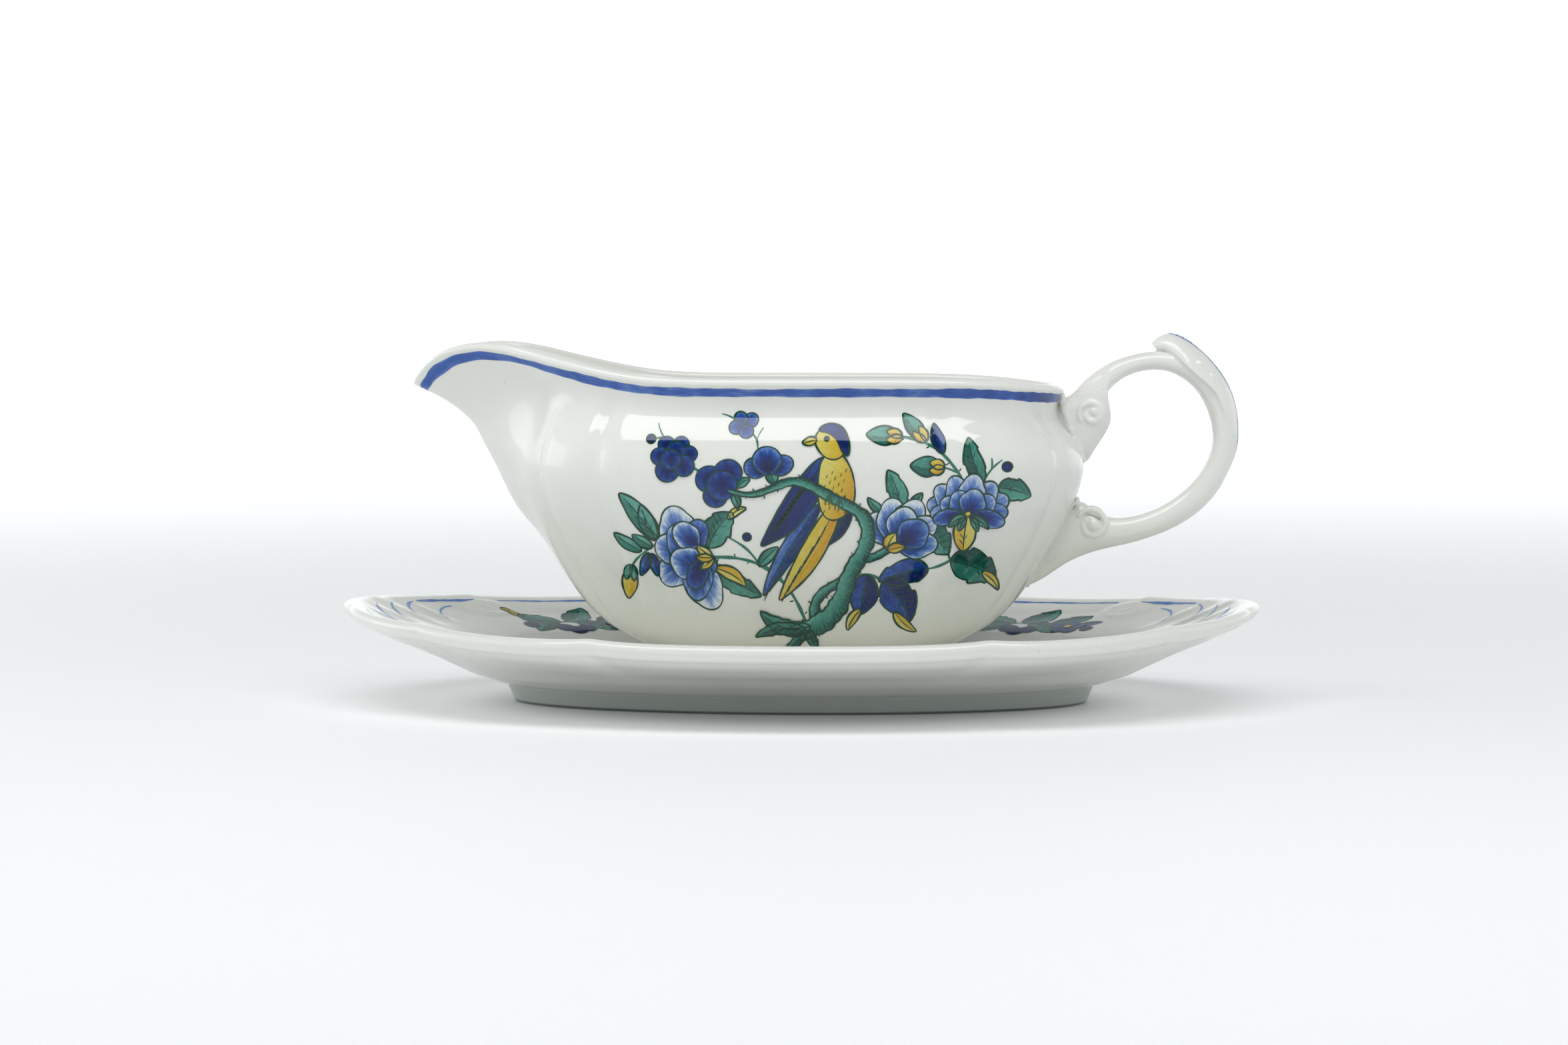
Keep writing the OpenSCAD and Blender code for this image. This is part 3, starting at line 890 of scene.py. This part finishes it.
# Base, tip, width, bend, lightness, then where needed: colour, layer, teeth, hatching.
LEAVES = [
    ((-33.2, 43), (-42.3, 54.2), 4.8, -0.5, 0.72, "teal", 1, 0, 3),
    ((-32.6, 43.4), (-36.9, 51.6), 4, 0.7, 0.7, "teal", 1, 0, 2),
    ((-36.9, 40.2), (-43.8, 44.4), 2.9, 0.3, 0.75), ((-34.2, 41.3), (-39.3, 44.2), 2.6, 0.2, 0.72),
    ((-35.2, 39.8), (-37.3, 34), 2.5, 0.2, 0.62, "blue"),
    ((-34.6, 39.7), (-33.1, 34.1), 2.5, 0.2, 0.6, "blue"),
    ((-20.6, 41.2), (-14.4, 49.8), 7.4, 0.9, 0.62, "teal", 1, 3, 5),
    ((-15.7, 48.2), (-11.2, 50.9), 1.9, 0.7, 0.95, "yellow"),
    ((-19.3, 36.6), (-7.9, 29.5), 5.6, -0.5, 0.55, "teal", 1, 3, 3),
    ((-18.8, 36.3), (-11.6, 31.9), 3.1, 0.8, 0.8, "yellow", 2),
    ((-8.2, 36.9), (-3.5, 41.6), 2.7, 0.3, 0.72), ((-13.6, 56), (-10.3, 58), 2.1, 0.3, 0.65),
    ((-14.7, 54.8), (-13.4, 50.7), 2.1, 0.4, 0.62), ((-4.4, 57), (-5.3, 61), 3, 0.2, 0.66, "teal", 2),
    ((29.3, 47.3), (37.2, 39.6), 8.4, 0.6, 0.58, "teal", 1, 3, 6),
    ((26, 51), (22.6, 60.2), 4.8, -0.5, 0.68, "teal", 1, 2, 2),
    ((22, 49.8), (17.9, 53.6), 2.2, 0.4, 0.68), ((28.4, 50.6), (31, 54.6), 2.4, 0.2, 0.68),
    ((37.7, 38), (48.8, 32.8), 8.8, 0.9, 0.42, "teal", 1, 3, 6),
    ((45.4, 34.8), (49.4, 30), 2.3, 0.6, 0.9, "yellow", 2),
    ((49.3, 55.6), (57.2, 53.2), 5.8, 0.5, 0.66, "teal", 1, 2, 2),
    ((45.5, 56.8), (42, 67.8), 4.9, 0.6, 0.5, "teal", 1, 2, 4),
    ((35.9, 64), (33.6, 71.2), 3, 0.2, 0.55, "blue"),
    ((32.4, 36), (20.4, 33.2), 6.6, -0.6, 0.55, "blue", 1, 2, 4),
    ((17.5, 34.9), (15.3, 24.8), 6.8, 0.4, 0.53, "blue", 1, 0, 5),
    ((16.2, 26.2), (12.8, 20.8), 2.3, -0.5, 0.85, "yellow", 2),
    ((21.5, 33.2), (27.9, 22.8), 8.8, 0.9, 0.5, "blue", 1, 2, 6),
    ((24.2, 25.4), (29.6, 20.2), 2.5, -0.6, 0.85, "yellow", 2),
    ((-19.4, 39), (-23.2, 41.9), 2.2, 0.2, 0.9, "yellow", 14),
    ((-19.4, 39), (-23.6, 39.2), 2, 0.2, 0.7, "yellow", 15),
    ((-19.4, 38.9), (-22.4, 36.2), 2, 0.2, 0.8, "yellow", 14),
    ((22.4, 41), (24.6, 45), 3.1, 0.3, 0.85, "yellow", 11),
    ((22.6, 40.8), (26.8, 41.6), 2.4, 0.2, 0.6, "yellow", 12),
    ((40.6, 40.4), (42, 50.2), 5.2, 0.2, 0.85, "yellow", 19, 0, 2),
    ((41.5, 48.9), (37.3, 46.3), 1.9, -0.5, 0.7, "teal", 20),
    ((42, 48.9), (46.8, 45.6), 1.9, 0.5, 0.7, "teal", 20),
    ((41.2, 48.8), (39.6, 45.2), 1.7, -0.2, 0.66, "teal", 20),
    ((42.5, 48.8), (44.1, 45), 1.7, 0.2, 0.66, "teal", 20),
    ((4, 22), (-8.2, 25.8), 4.4, 2.2, 0.55, "teal", 12, 4, 5),
    ((3, 20.6), (-9.6, 19), 3.4, -1.6, 0.5, "teal", 12, 3, 3),
    ((2.2, 20.6), (-2.6, 15.6), 2.6, 0.5, 0.5, "teal", 12, 2),
    ((3.8, 20.8), (5.4, 15.8), 2.6, -0.4, 0.45, "teal", 12, 2)]
# Heart, first layer, then petals from the back to the front: angle, length, width, lobes, tint at the
# base and at the edge, and where needed the shift from the heart.
BLOSSOMS = [
    ((-26, 39), 2, [
        (108, 11.6, 9, 3, 0.3, 1.05, 0, 1), (298, 13, 9, 3, 0.3, 1.05, 1, -1),
        (232, 8.6, 8, 3, 0.25, 1), (152, 8, 7.6, 2, 0.25, 1), (66, 8.6, 6.4, 2, 0.1, 0.7, 0.5, 1),
        (335, 7.4, 6.6, 2, 0.1, 0.7, 0.5, 0), (122, 10.4, 7.6, 3, 0.1, 0.85, 2.2, -1.5),
        (268, 11, 7.4, 3, 0.05, 0.8, 3, 0.5), (136, 7.4, 6.4, 2, 0.15, 1.05, 3, 2.6),
        (152, 8.8, 7.8, 3, 0.15, 1, 4.4, -3.6), (250, 7.6, 5.2, 2, 0, 0.6, 4.2, -0.6)]),
    ((-6, 60), 3, [
        (168, 5.8, 5, 1, 0, 0.72), (22, 6.4, 4.8, 1, 0, 0.72), (94, 6.8, 7, 1, -0.05, 0.78, 0, -1)]),
    ((-11.9, 70.8), 1, [
        (35, 3.8, 3.4, 1, 0.3, 0.7), (118, 3.4, 3.2, 1, 0.3, 0.7), (196, 3.7, 3.2, 1, 0.3, 0.7),
        (292, 3.2, 3.4, 1, 0.3, 0.7)]),
    ((24.4, 42.2), 3, [
        (128, 9.2, 7, 2, 0.2, 1.05), (94, 11, 8, 3, 0.2, 1.05), (61, 12, 8, 3, 0.2, 1.05),
        (30, 11, 7.2, 2, 0.15, 1), (0, 10, 7, 3, 0.1, 0.95), (76, 8.8, 7.8, 3, 0.15, 1, 0.8, 0.4),
        (38, 8, 7.6, 3, 0.05, 0.8, 1, 0)]),
    ((41.8, 48.8), 2, [
        (160, 10, 6.2, 2, 0.25, 0.9), (24, 10.6, 6.2, 2, 0.25, 0.9), (136, 10.4, 6.6, 3, 0.25, 0.95),
        (50, 10.2, 6.6, 3, 0.25, 0.95), (110, 10.2, 6.6, 3, 0.25, 0.95), (80, 10.2, 6.8, 3, 0.25, 0.95),
        (174, 8.8, 5.4, 2, 0.2, 0.85), (6, 9.6, 5.6, 2, 0.2, 0.85), (148, 7.4, 6, 3, 0.2, 0.9),
        (35, 7.6, 6.2, 3, 0.2, 0.9), (116, 6.6, 6.2, 3, 0.15, 0.9), (70, 6.8, 6.4, 3, 0.15, 0.9),
        (-16, 7.6, 4.6, 2, 0.1, 0.8, 1.4, 0.4), (190, 7, 4.2, 2, 0.1, 0.8, -1.4, 0.4)])]
# Round blue petals and berries: x, z, radius, layer.
ROUNDS = [
    (-30.6, 66, 2, 2), (-27, 66.2, 1.9, 3), (-25, 63.8, 1.9, 4), (-32.2, 63.2, 2.1, 4),
    (-28.2, 64.6, 2.2, 5), (-30.4, 59.8, 2.7, 6), (-26.4, 61, 2.5, 7), (-29.4, 62.5, 2.3, 8),
    (-20.2, 57.9, 3.2, 2), (-15.6, 59.4, 3.3, 3), (-18.6, 53.9, 2.8, 4), (-17, 56.4, 3.5, 5),
    (-34.4, 67.4, 1.05, 1), (-11.1, 44, 1, 1), (51.4, 60.6, 1.2, 1)]
# Stems: rows of x, z, share of the width; then the width and where needed the thorns.
STEMS = [
    ([(2.6, 23.4, 1.4), (-0.4, 30.2, 1.1), (-5, 35.4, 0.9), (-10, 37.9, 0.75), (-15, 39, 0.7),
      (-19.6, 39, 0.7)], 0.95, 8),
    ([(-7.8, 36.9, 1), (-11, 41, 0.9), (-15.4, 43.7, 0.8)], 0.6),
    ([(-32.3, 43.8, 1), (-33.9, 41.6, 1), (-36.5, 39.8, 0.9), (-38.8, 37.4, 0.8),
      (-39.9, 35.2, 0.7)], 0.6),
    ([(-24.4, 60.8, 1), (-22.4, 59.6, 1), (-20.6, 58.6, 1)], 0.75),
    ([(-28.6, 67, 1), (-31.2, 67.9, 0.8), (-33.4, 67.5, 0.7)], 0.55),
    ([(-31.2, 67.8, 1), (-32.2, 69.4, 0.8), (-32.8, 71.2, 0.5)], 0.4),
    ([(-10.6, 69.4, 1), (-8.8, 67.6, 1), (-8.5, 64.8, 1)], 0.5),
    ([(-8.9, 66.8, 1), (-8.2, 68.6, 0.8), (-7.2, 70.2, 0.5)], 0.4),
    ([(-13.9, 72, 1), (-15.6, 72.9, 0.8), (-17.4, 73.4, 0.5)], 0.4),
    ([(-4.5, 57.5, 1), (-3, 56.9, 1), (-1.6, 56.7, 1.2)], 0.8),
    ([(31.9, 35.9, 0.8), (34.4, 36.5, 0.9), (37.8, 38.2, 1), (40.7, 40.9, 1.1)], 0.65),
    ([(37.7, 38.2, 1), (37.3, 39.4, 1), (37, 41, 1)], 0.5),
    ([(40.4, 58.2, 1.1), (38, 61.4, 1), (35.4, 64.2, 0.9), (32, 66.5, 0.8), (28.8, 67.6, 0.7),
      (25, 68.2, 0.7)], 0.85, 6),
    ([(31.8, 66.5, 1), (31.3, 67.6, 1), (31, 68.6, 1)], 0.55),
    ([(34.9, 60.7, 1), (37, 60.5, 1), (39.2, 59.4, 1.1)], 0.6),
    ([(45.6, 57, 1), (47.5, 60.2, 0.9), (50.2, 62.4, 0.6)], 0.5),
    ([(47.5, 60.2, 1), (47.7, 61.4, 0.9), (47.6, 62.8, 0.6)], 0.45),
    ([(12.8, 33.6, 1.2), (16.6, 34.9, 1), (19.2, 34.4, 1), (21.8, 33, 1)], 0.7, 4)]
# Branches: the same rows, width, layer, thorns.
BRANCHES = [
    ([(15.2, 39.4, 1.2), (18.8, 38.9, 1), (22.8, 41.2, 0.8)], 1.9, 11, 0),
    ([(5.4, 23.6, 1.2), (5, 27.8, 1), (8.2, 31.4, 0.9), (12.4, 33.4, 0.9)], 2.2, 11, 5),
    ([(0.4, 20, 1), (4.8, 21.9, 1.25), (9.4, 25.2, 1.25), (12, 30.2, 1), (13.4, 35.2, 0.92),
      (16.6, 40.2, 0.88), (17.9, 44.6, 0.82), (16.8, 49.2, 0.72), (12.8, 51.8, 0.62), (7.6, 54.4, 0.58),
      (3, 57, 0.52), (-1, 57.4, 0.5), (-5.2, 55.6, 0.38), (-10.4, 54.1, 0.3),
      (-15.4, 55.3, 0.18)], 3.8, 12, 38)]
# Base, tip, width, lightness, colour, colour of the cup.
BUDS = [
    ((-39.7, 36), (-40.7, 28), 3.9, 0.75, "yellow", "teal"),
    ((25.4, 68.1), (17.4, 68.6), 4.4, 0.66, "teal", "yellow"),
    ((31.4, 67.4), (26.2, 73.6), 3.6, 0.66, "teal", "yellow"),
    ((35.6, 60.7), (28.1, 61.2), 4.8, 0.55, "teal", "yellow")]


def bird(paint):
    """A plain songbird, looking left, its tail hanging below the branch."""
    paint.leaf((6.5, 52), (-7.4, 29.4), 4.2, -0.6, 0.68, "blue", 4)
    paint.leaf((13.8, 51.5), (6.4, 41.6), 4.0, 0.6, 0.45, "blue", 5, 0, 4)
    paint.leaf((11.0, 53), (-3.6, 28.4), 5.4, 0.8, 0.72, "yellow", 6)
    for k in range(7):
        s = 0.22 + 0.1 * k
        x, z = 14.6 * s, 24 * s
        paint.line([(11.0 - x, 52 - z), (10.4 - x - 1.4, 50 - z - 2.2)], 0.3, 6.5)
        x, z = 13.4 * s, 22 * s
        paint.line([(5.4 - x, 50 - z), (5.0 - x - 1.2, 48 - z - 1.6)], 0.28, 4.5)
    # The wing and its feathers.
    paint.blob([(7.4, 63.6), (2.8, 59.6), (-1.2, 54.6), (-4.6, 48.4), (-8.2, 41.6), (-4.6, 43.2),
                (-0.6, 45.2), (3, 49), (6.2, 53.6), (8.2, 58.6)],
               "blue", 7, (7, 62), (-7, 42), (0.38, 0.12))
    for k in range(6):
        a = np.array((5.8 - 0.7 * k, 59.4 - 0.6 * k))
        feather = [a, a + (-4.2 - 0.2 * k, -5.4 - 0.5 * k), a + (-7.6 - 0.3 * k, -11.4 - 0.55 * k)]
        paint.line(feather, 0.3, 7.5, tint=0.1)
    # The body and its speckles.
    paint.blob([(6.9, 62.6), (10.2, 64.6), (13, 62.2), (14.6, 57.4), (14.6, 52.4), (12.4, 49.2),
                (8.8, 48.2), (6.4, 51.4), (6, 57)], "yellow", 8, (7, 58), (14.4, 55), (0.85, 0.3))
    for k in range(22):
        a = np.array((7.6 + 5.4 * ((k * 0.618) % 1), 50.6 + 10.4 * k / 22))
        paint.line([a, a + (-0.35, -0.95)], 0.22, 8.5)
    # The head, its cap, the beak and the eye.
    paint.blob([(5.2, 67), (6, 69.2), (8.6, 70.6), (11.6, 69.6), (12.8, 66.6), (12, 63.6),
                (9.4, 62.6), (6.8, 64)], "yellow", 9, (5, 67), (12, 64), (0.9, 0.45))
    paint.blob([(5.9, 69.4), (8.6, 71.2), (11.9, 70.2), (13.4, 66.8), (13.2, 63.4), (11.6, 64.8),
                (10.4, 67.4), (8.2, 69)], "blue", 10, (6, 70), (13, 64), (0.4, 0.15))
    paint.leaf((5.7, 67.4), (2.2, 66.6), 1.9, 0.1, 0.9, "yellow", 10)
    paint.line([(5.6, 67.2), (3.9, 66.9), (2.6, 66.6)], 0.24, 11)
    paint.ball((8.0, 67.5), 0.62, "line", 10, (0.0, 0.1))
    # The feet, three toes each.
    for x in (8.6, 11.0):
        low = 0.45 * (x - 8)
        for k in (-1, 0, 1):
            toe = [(x, 54.6 - low), (x + 0.7 * k, 53.4 - low), (x + 0.9 * k, 52.0 - low)]
            paint.line(toe, 0.42, 14, tint=0.9)


def boat_decoration(paint):
    for points, width, *thorns in STEMS:
        paint.stem(points, width, 0, "stem", *thorns)
    for row in LEAVES:
        paint.leaf(*row)
    for row in BUDS:
        paint.bud(*row)
    for row in BLOSSOMS:
        paint.blossom(*row)
    for x, z, r, layer in ROUNDS:
        paint.ball((x, z), r, "blue", layer, (0.42, 0.02) if r < 1.5 else (0.08, 0.5))
    bird(paint)
    for points, width, layer, thorns in BRANCHES:
        paint.stem(points, width, layer, "teal", thorns, LINE)


# The blue band below the rim: how near the handle it starts, in degrees, its width and its height.
BAND_GAP, BAND_WIDTH, BAND_Z, BAND_STEPS = 6, 2.0, 70.1, 1000
# Its uneven edge: waves round the rim, height, phase in degrees.
BAND_SWAY = ((5, 0.05, 20), (13, 0.09, 80), (31, 0.07, 10), (67, 0.06, 50))


def rim_band(paint):
    th = np.linspace(BAND_GAP, 360 - BAND_GAP, BAND_STEPS)
    from_tip = np.abs(180 - th)
    spout = bump(from_tip, 24)
    sway = sum(w * np.sin(np.radians(th * f + p)) for f, w, p in BAND_SWAY)
    near_handle = ease((from_tip - 108) / 50)
    fade = ease((from_tip - 174) / -4)
    half = BAND_WIDTH / 2 * (1 + 0.8 * sway + 0.22 * near_handle - 0.38 * spout) * (0.35 + 0.65 * fade)
    middle = BAND_Z + 0.7 * spout + 0.25 * np.roll(sway, 90)
    fine = samples(BOWL_OUT, 400)
    rim = np.array(fine[-1])
    places = []
    for k in np.linspace(-1, 1, 5):
        z = np.minimum(middle + k * half, rim[0])
        rows = np.stack([np.interp(z, fine[:, 0], fine[:, c]) for c in range(5)], axis=-1)
        rows[:, 0] = middle + k * half
        places.append(bowl_point(rows, th))
    places = np.stack(places, axis=1)
    corners = (5 * i + k for i in range(BAND_STEPS - 1) for k in range(4))
    faces = [(c + 5, c + 6, c + 1, c) for c in corners]
    edge = np.tile(np.abs(np.linspace(-1, 1, 5)), BAND_STEPS)
    cloud, deep = np.repeat(np.roll(sway, 40), 5), np.repeat(near_handle, 5)
    tint = 0.5 + 0.25 * cloud * 2 - 0.3 * deep + 0.12 * edge**4
    brush = pairs(np.tile(np.linspace(-2, 2, 5), BAND_STEPS), np.repeat(th * 0.12, 5))
    paint.near("rim", place_boat(places.reshape(-1, 3)), faces, tint, brush)


# Along the spray and across it, in mm: base, tip, width, bend, lightness, colour, teeth.
SPRIG_LEAVES = [
    (-5.5, -0.4, -16, 4.4, 7.4, 0.9, 0.48, "teal", 3), (-3.5, 0, 3.4, 9.6, 7.6, -0.8, 0.52, "teal", 3),
    (-1, -0.2, 8.5, -7.4, 6.8, 0.7, 0.42, "teal", 2), (5, 0, 14.6, 4.8, 6.4, -0.6, 0.48, "teal", 2),
    (-6.5, -0.8, -13.5, -8, 5.4, -0.6, 0.5, "teal", 2),
    (-14.5, 3.4, -20, 6.8, 2.4, 0.2, 0.9, "yellow", 0),
    (12.5, -2.4, 19.4, -0.6, 3.4, 0.3, 0.55, "blue", 0)]
SPRIG_BERRIES = [(-14.2, -3.4, 2, 3), (-5.4, -5, 2.4, 3), (-2.6, -6.6, 2.3, 4), (0.4, -5.4, 2.2, 5),
                 (16.6, -5.2, 1.6, 3)]
SPRIGS = ((-60, 45, 24), (60, 45, -24), (-60, -45, 156), (60, -45, 204))  # x, y, turn


def sprig(paint, x, y, angle):
    """A spray for the saucer's border: broad leaves, berries, two buds and a flower."""
    c, s = math.cos(math.radians(angle)), math.sin(math.radians(angle))

    def at(u, v):
        return (x + c * u - s * v, y + s * u + c * v)

    paint.stem([(*at(-13, -3), 0.7), (*at(-6, -0.6), 1), (*at(4, 0), 1), (*at(14, -3), 0.7)],
               1.0, 0, "stem", 4)
    for u0, v0, u1, v1, width, bend, light, colour, teeth in SPRIG_LEAVES:
        paint.leaf(at(u0, v0), at(u1, v1), width, bend, light, colour, 1, teeth, 4)
    for u, v, r, layer in SPRIG_BERRIES:
        paint.ball(at(u, v), r, "blue", layer, (0.0, 0.25))
    heart = at(10.8, -3.4)
    for k in range(5):
        paint.petal(heart, angle + 10 + 72 * k, 4.4, 4.2, 2, 6 + k, (0.0, 0.55))
    paint.ball(heart, 1.1, "yellow", 12, (0.3, 0.8))


# The blue line along the border: first angle, last angle, steps.
BORDER = ((41.5, 138.5, 60), (221.5, 318.5, 60), (23, 36.5, 12), (143.5, 157, 12), (203, 216.5, 12),
          (323.5, 337, 12))
# Outlined leaves beside each end: rows of angle from the end, inset.
END_STROKES = [
    [(30.5, 7.4), (27.6, 8.2), (24.6, 11), (23, 15)], [(22, 5.4), (19, 6.6), (17.2, 9.4), (16.6, 13.6)],
    [(14.6, 5.2), (12, 6.6), (10.4, 9.4), (9.8, 14)], [(7.6, 5.2), (5.2, 6.8), (3.8, 9.6), (3.6, 14.2)]]


def saucer_decoration(paint):
    def rim_at(th, inset):
        return saucer_point(np.array(float(inset)), np.array(20.0), np.array(float(th)))[:2]

    def stroke(points):
        paint.line(points, 0.8, 0.5, "rim", taper=0.9, tint=0.95)

    for first, last, steps in BORDER:
        line = [rim_at(th, 5.0) for th in np.linspace(first, last, steps)]
        paint.line(line, 1.0, 0.5, "rim", taper=0.75, tint=0.78)
    for end in (0, 180):
        for side in (-1, 1):
            for points in END_STROKES:
                stroke([rim_at(end + side * a, i) for a, i in points])
        stroke([rim_at(end, 5), rim_at(end, 9), rim_at(end, 14.5)])
    for x, y, angle in SPRIGS:
        sprig(paint, x, y, angle)


def leaf_line(paint):
    """The blue line along the ridge of the thumb leaf."""
    steps = 120
    p = on_spline(controls(LEAF_ROWS), np.linspace(1.2, 8.2, steps))
    s = np.linspace(0, 1, steps)
    half = 1.05 * (0.6 + 0.4 * np.sin(9 * s) ** 2) * np.clip(np.minimum(s, 1 - s) * 9, 0.2, 1)
    lift = p[:, 2] * 1.25
    x, z = p[:, 0] - np.sin(p[:, 4]) * lift, p[:, 1] + np.cos(p[:, 4]) * lift
    places = np.stack([np.stack([x, k * half, z], axis=1) for k in (-1, 0, 1)], axis=1).reshape(-1, 3)
    corners = (3 * i + k for i in range(steps - 1) for k in (0, 1))
    faces = [(c, c + 1, c + 4, c + 3) for c in corners]
    tint = np.repeat(0.4 + 0.25 * np.sin(7 * s + 0.4), 3)
    brush = pairs(np.tile([-1.0, 0.0, 1.0], steps), np.repeat(s * 16, 3))
    paint.near("rim", place_handle(places * MM), faces, tint, brush)


boat_paint = Painter(boat, (from_front, from_behind))
boat_decoration(boat_paint)
rim_band(boat_paint)
boat_paint.finish("paint_boat_", "boat")
saucer_paint = Painter(saucer, (from_above,))
saucer_decoration(saucer_paint)
saucer_paint.finish("paint_saucer_", "saucer")
handle_paint = Painter(handle, ())
leaf_line(handle_paint)
handle_paint.finish("paint_handle_", "boat")

# ------------------------------------------------------------------ studio, in metres
# Glow of the paper: near the piece, added in front and behind, added at the wall, share left high up.
GLOW_NEAR, GLOW_FRONT, GLOW_BACK, GLOW_WALL, GLOW_HIGH = 0.17, 0.03, 0.52, 0.36, 0.05
GLOW_TOWARDS, GLOW_SPAN, SOFTBOX_REACH = (-0.22, 0.8, 0.0), (-1.0, 0.75), 0.85
WALL_NEAR, DIM_SPAN = 0.5, (0.8, 1.6)
# The oval of shade painted into the paper's colour under the foot ring.
SHADE_OVAL, SHADE_EDGE, SHADE_TONE = (0.74, 1.0, 0.0), (0.040, 0.068), (0.47, 0.49, 0.49, 1)
FLOOR_R, COVE_R, WALL_ROWS, COVE_SIDES = 2.2, 1.4, (1.5, 2.8, 6), 96
# Name, place, aim, size, power in watts.
LIGHTS = (("softbox_top", (-0.03, -0.33, 0.85), (0, -0.03, 0), (1.14, 0.42), 5.7),
          ("panel_left", (-1.0, 0.05, 0.26), (0, 0, 0.02), (0.6, 0.44), 1.0))
SKY, SKY_STRENGTH = (0.97, 0.99, 1, 1), 0.12
AZIMUTH, PITCH, DISTANCE, AIM = math.radians(2.5), math.radians(3.5), 0.93, (-0.004, 0, 0.045)
LENS_MM, SENSOR_MM, CLIP_NEAR, CLIP_FAR = 85, 36, 0.05, 50

lo, hi = cad_box
centre = Vector(((lo.x + hi.x) / 2, (lo.y + hi.y) / 2, lo.z))


def paper():
    """Pale paper that glows: the far parts most, and those behind and on the left."""
    n = Nodes("studio_paper")
    tone = n.ramp(n.noise(1.3, 3), [(0.3, (0.815, 0.834, 0.840)), (0.7, (0.830, 0.848, 0.854))])
    # Painted shade: the paper's colour is darkened in an oval under the foot ring.
    squeezed = n.compute("VectorMath", "MULTIPLY", n.place, SHADE_OVAL)
    from_foot = n.compute("VectorMath", "LENGTH", squeezed)
    clear = n.spread(from_foot, *SHADE_EDGE, interpolation="SMOOTHSTEP")
    tone = n.mix(clear, SHADE_TONE, tone)
    away = n.compute("VectorMath", "LENGTH", n.place)
    fall = away
    for operation, value in (("DIVIDE", SOFTBOX_REACH), ("POWER", 2.0), ("ADD", 1.0), ("POWER", -2.0)):
        fall = n.compute("Math", operation, fall, value)
    behind = n.compute("VectorMath", "DOT_PRODUCT", n.place, GLOW_TOWARDS)
    side = n.spread(behind, *GLOW_SPAN, GLOW_FRONT, GLOW_BACK)
    wall = n.spread(away, WALL_NEAR, FLOOR_R, GLOW_NEAR, GLOW_NEAR + GLOW_WALL)
    glow = n.compute("Math", "MULTIPLY_ADD", n.compute("Math", "SUBTRACT", 1.0, fall), side, wall)
    # High up, the wall goes dark.
    high = n.spread(n.height(), *DIM_SPAN, 1.0, GLOW_HIGH)
    n.surface(Base_Color=tone, Emission_Color=tone, Roughness=0.62, Specular_IOR_Level=0.25,
              Emission_Strength=n.compute("Math", "MULTIPLY", glow, high))
    n.bump([(n.noise(900, 3), 0.05, 0.0002)])
    return n.mat


def cove():
    """A round seamless floor that turns up into a wall, all the way round."""
    profile = [(r, 0.0) for r in np.linspace(0.05, FLOOR_R, 30)]
    profile += [(FLOOR_R + COVE_R * math.sin(a), COVE_R - COVE_R * math.cos(a))
                for a in np.linspace(0.05, math.pi / 2, 24)]
    profile += [(FLOOR_R + COVE_R, z) for z in np.linspace(*WALL_ROWS)]
    a = np.linspace(0, 2 * np.pi, COVE_SIDES, endpoint=False)
    rings = np.array([[(r * c, r * s, z) for c, s in zip(np.cos(a), np.sin(a))] for r, z in profile])
    verts, faces = skin_data(rings)
    # The skin without its lid, so the studio is open at the top.
    mesh = mesh_from("studio_cove", verts[:-1] + np.array(centre), faces[:-COVE_SIDES])
    obj = new_object("studio_cove", mesh)
    mesh.materials.append(paper())


def look_along(obj, direction):
    obj.rotation_mode = "QUATERNION"
    obj.rotation_quaternion = direction.to_track_quat("-Z", "Y")


def area_light(name, where, aim, size, power):
    light = bpy.data.lights.new(name, "AREA")
    light.shape, light.size, light.size_y = "RECTANGLE", *size
    light.energy = power
    obj = new_object(name, light)
    obj.location = centre + Vector(where)
    obj.visible_camera = False
    look_along(obj, Vector(aim) - Vector(where))


cove()
for row in LIGHTS:
    area_light(*row)
world = bpy.data.worlds.new("studio_world")
world.use_nodes = True
sky = world.node_tree.nodes["Background"].inputs
sky["Color"].default_value, sky["Strength"].default_value = SKY, SKY_STRENGTH
bpy.context.scene.world = world
bpy.context.scene.view_settings.view_transform = "Standard"

# ------------------------------------------------------------------ camera
back = Vector((math.sin(AZIMUTH) * math.cos(PITCH), -math.cos(AZIMUTH) * math.cos(PITCH),
               math.sin(PITCH)))
camera = bpy.data.cameras.new("camera")
camera.lens, camera.sensor_width = LENS_MM, SENSOR_MM
camera.clip_start, camera.clip_end = CLIP_NEAR, CLIP_FAR
camera_obj = new_object("camera", camera)
camera_obj.location = Vector(AIM) + back * DISTANCE
look_along(camera_obj, -back)
bpy.context.scene.camera = camera_obj

# ------------------------------------------------------------------ update the scene
bpy.context.view_layer.update()
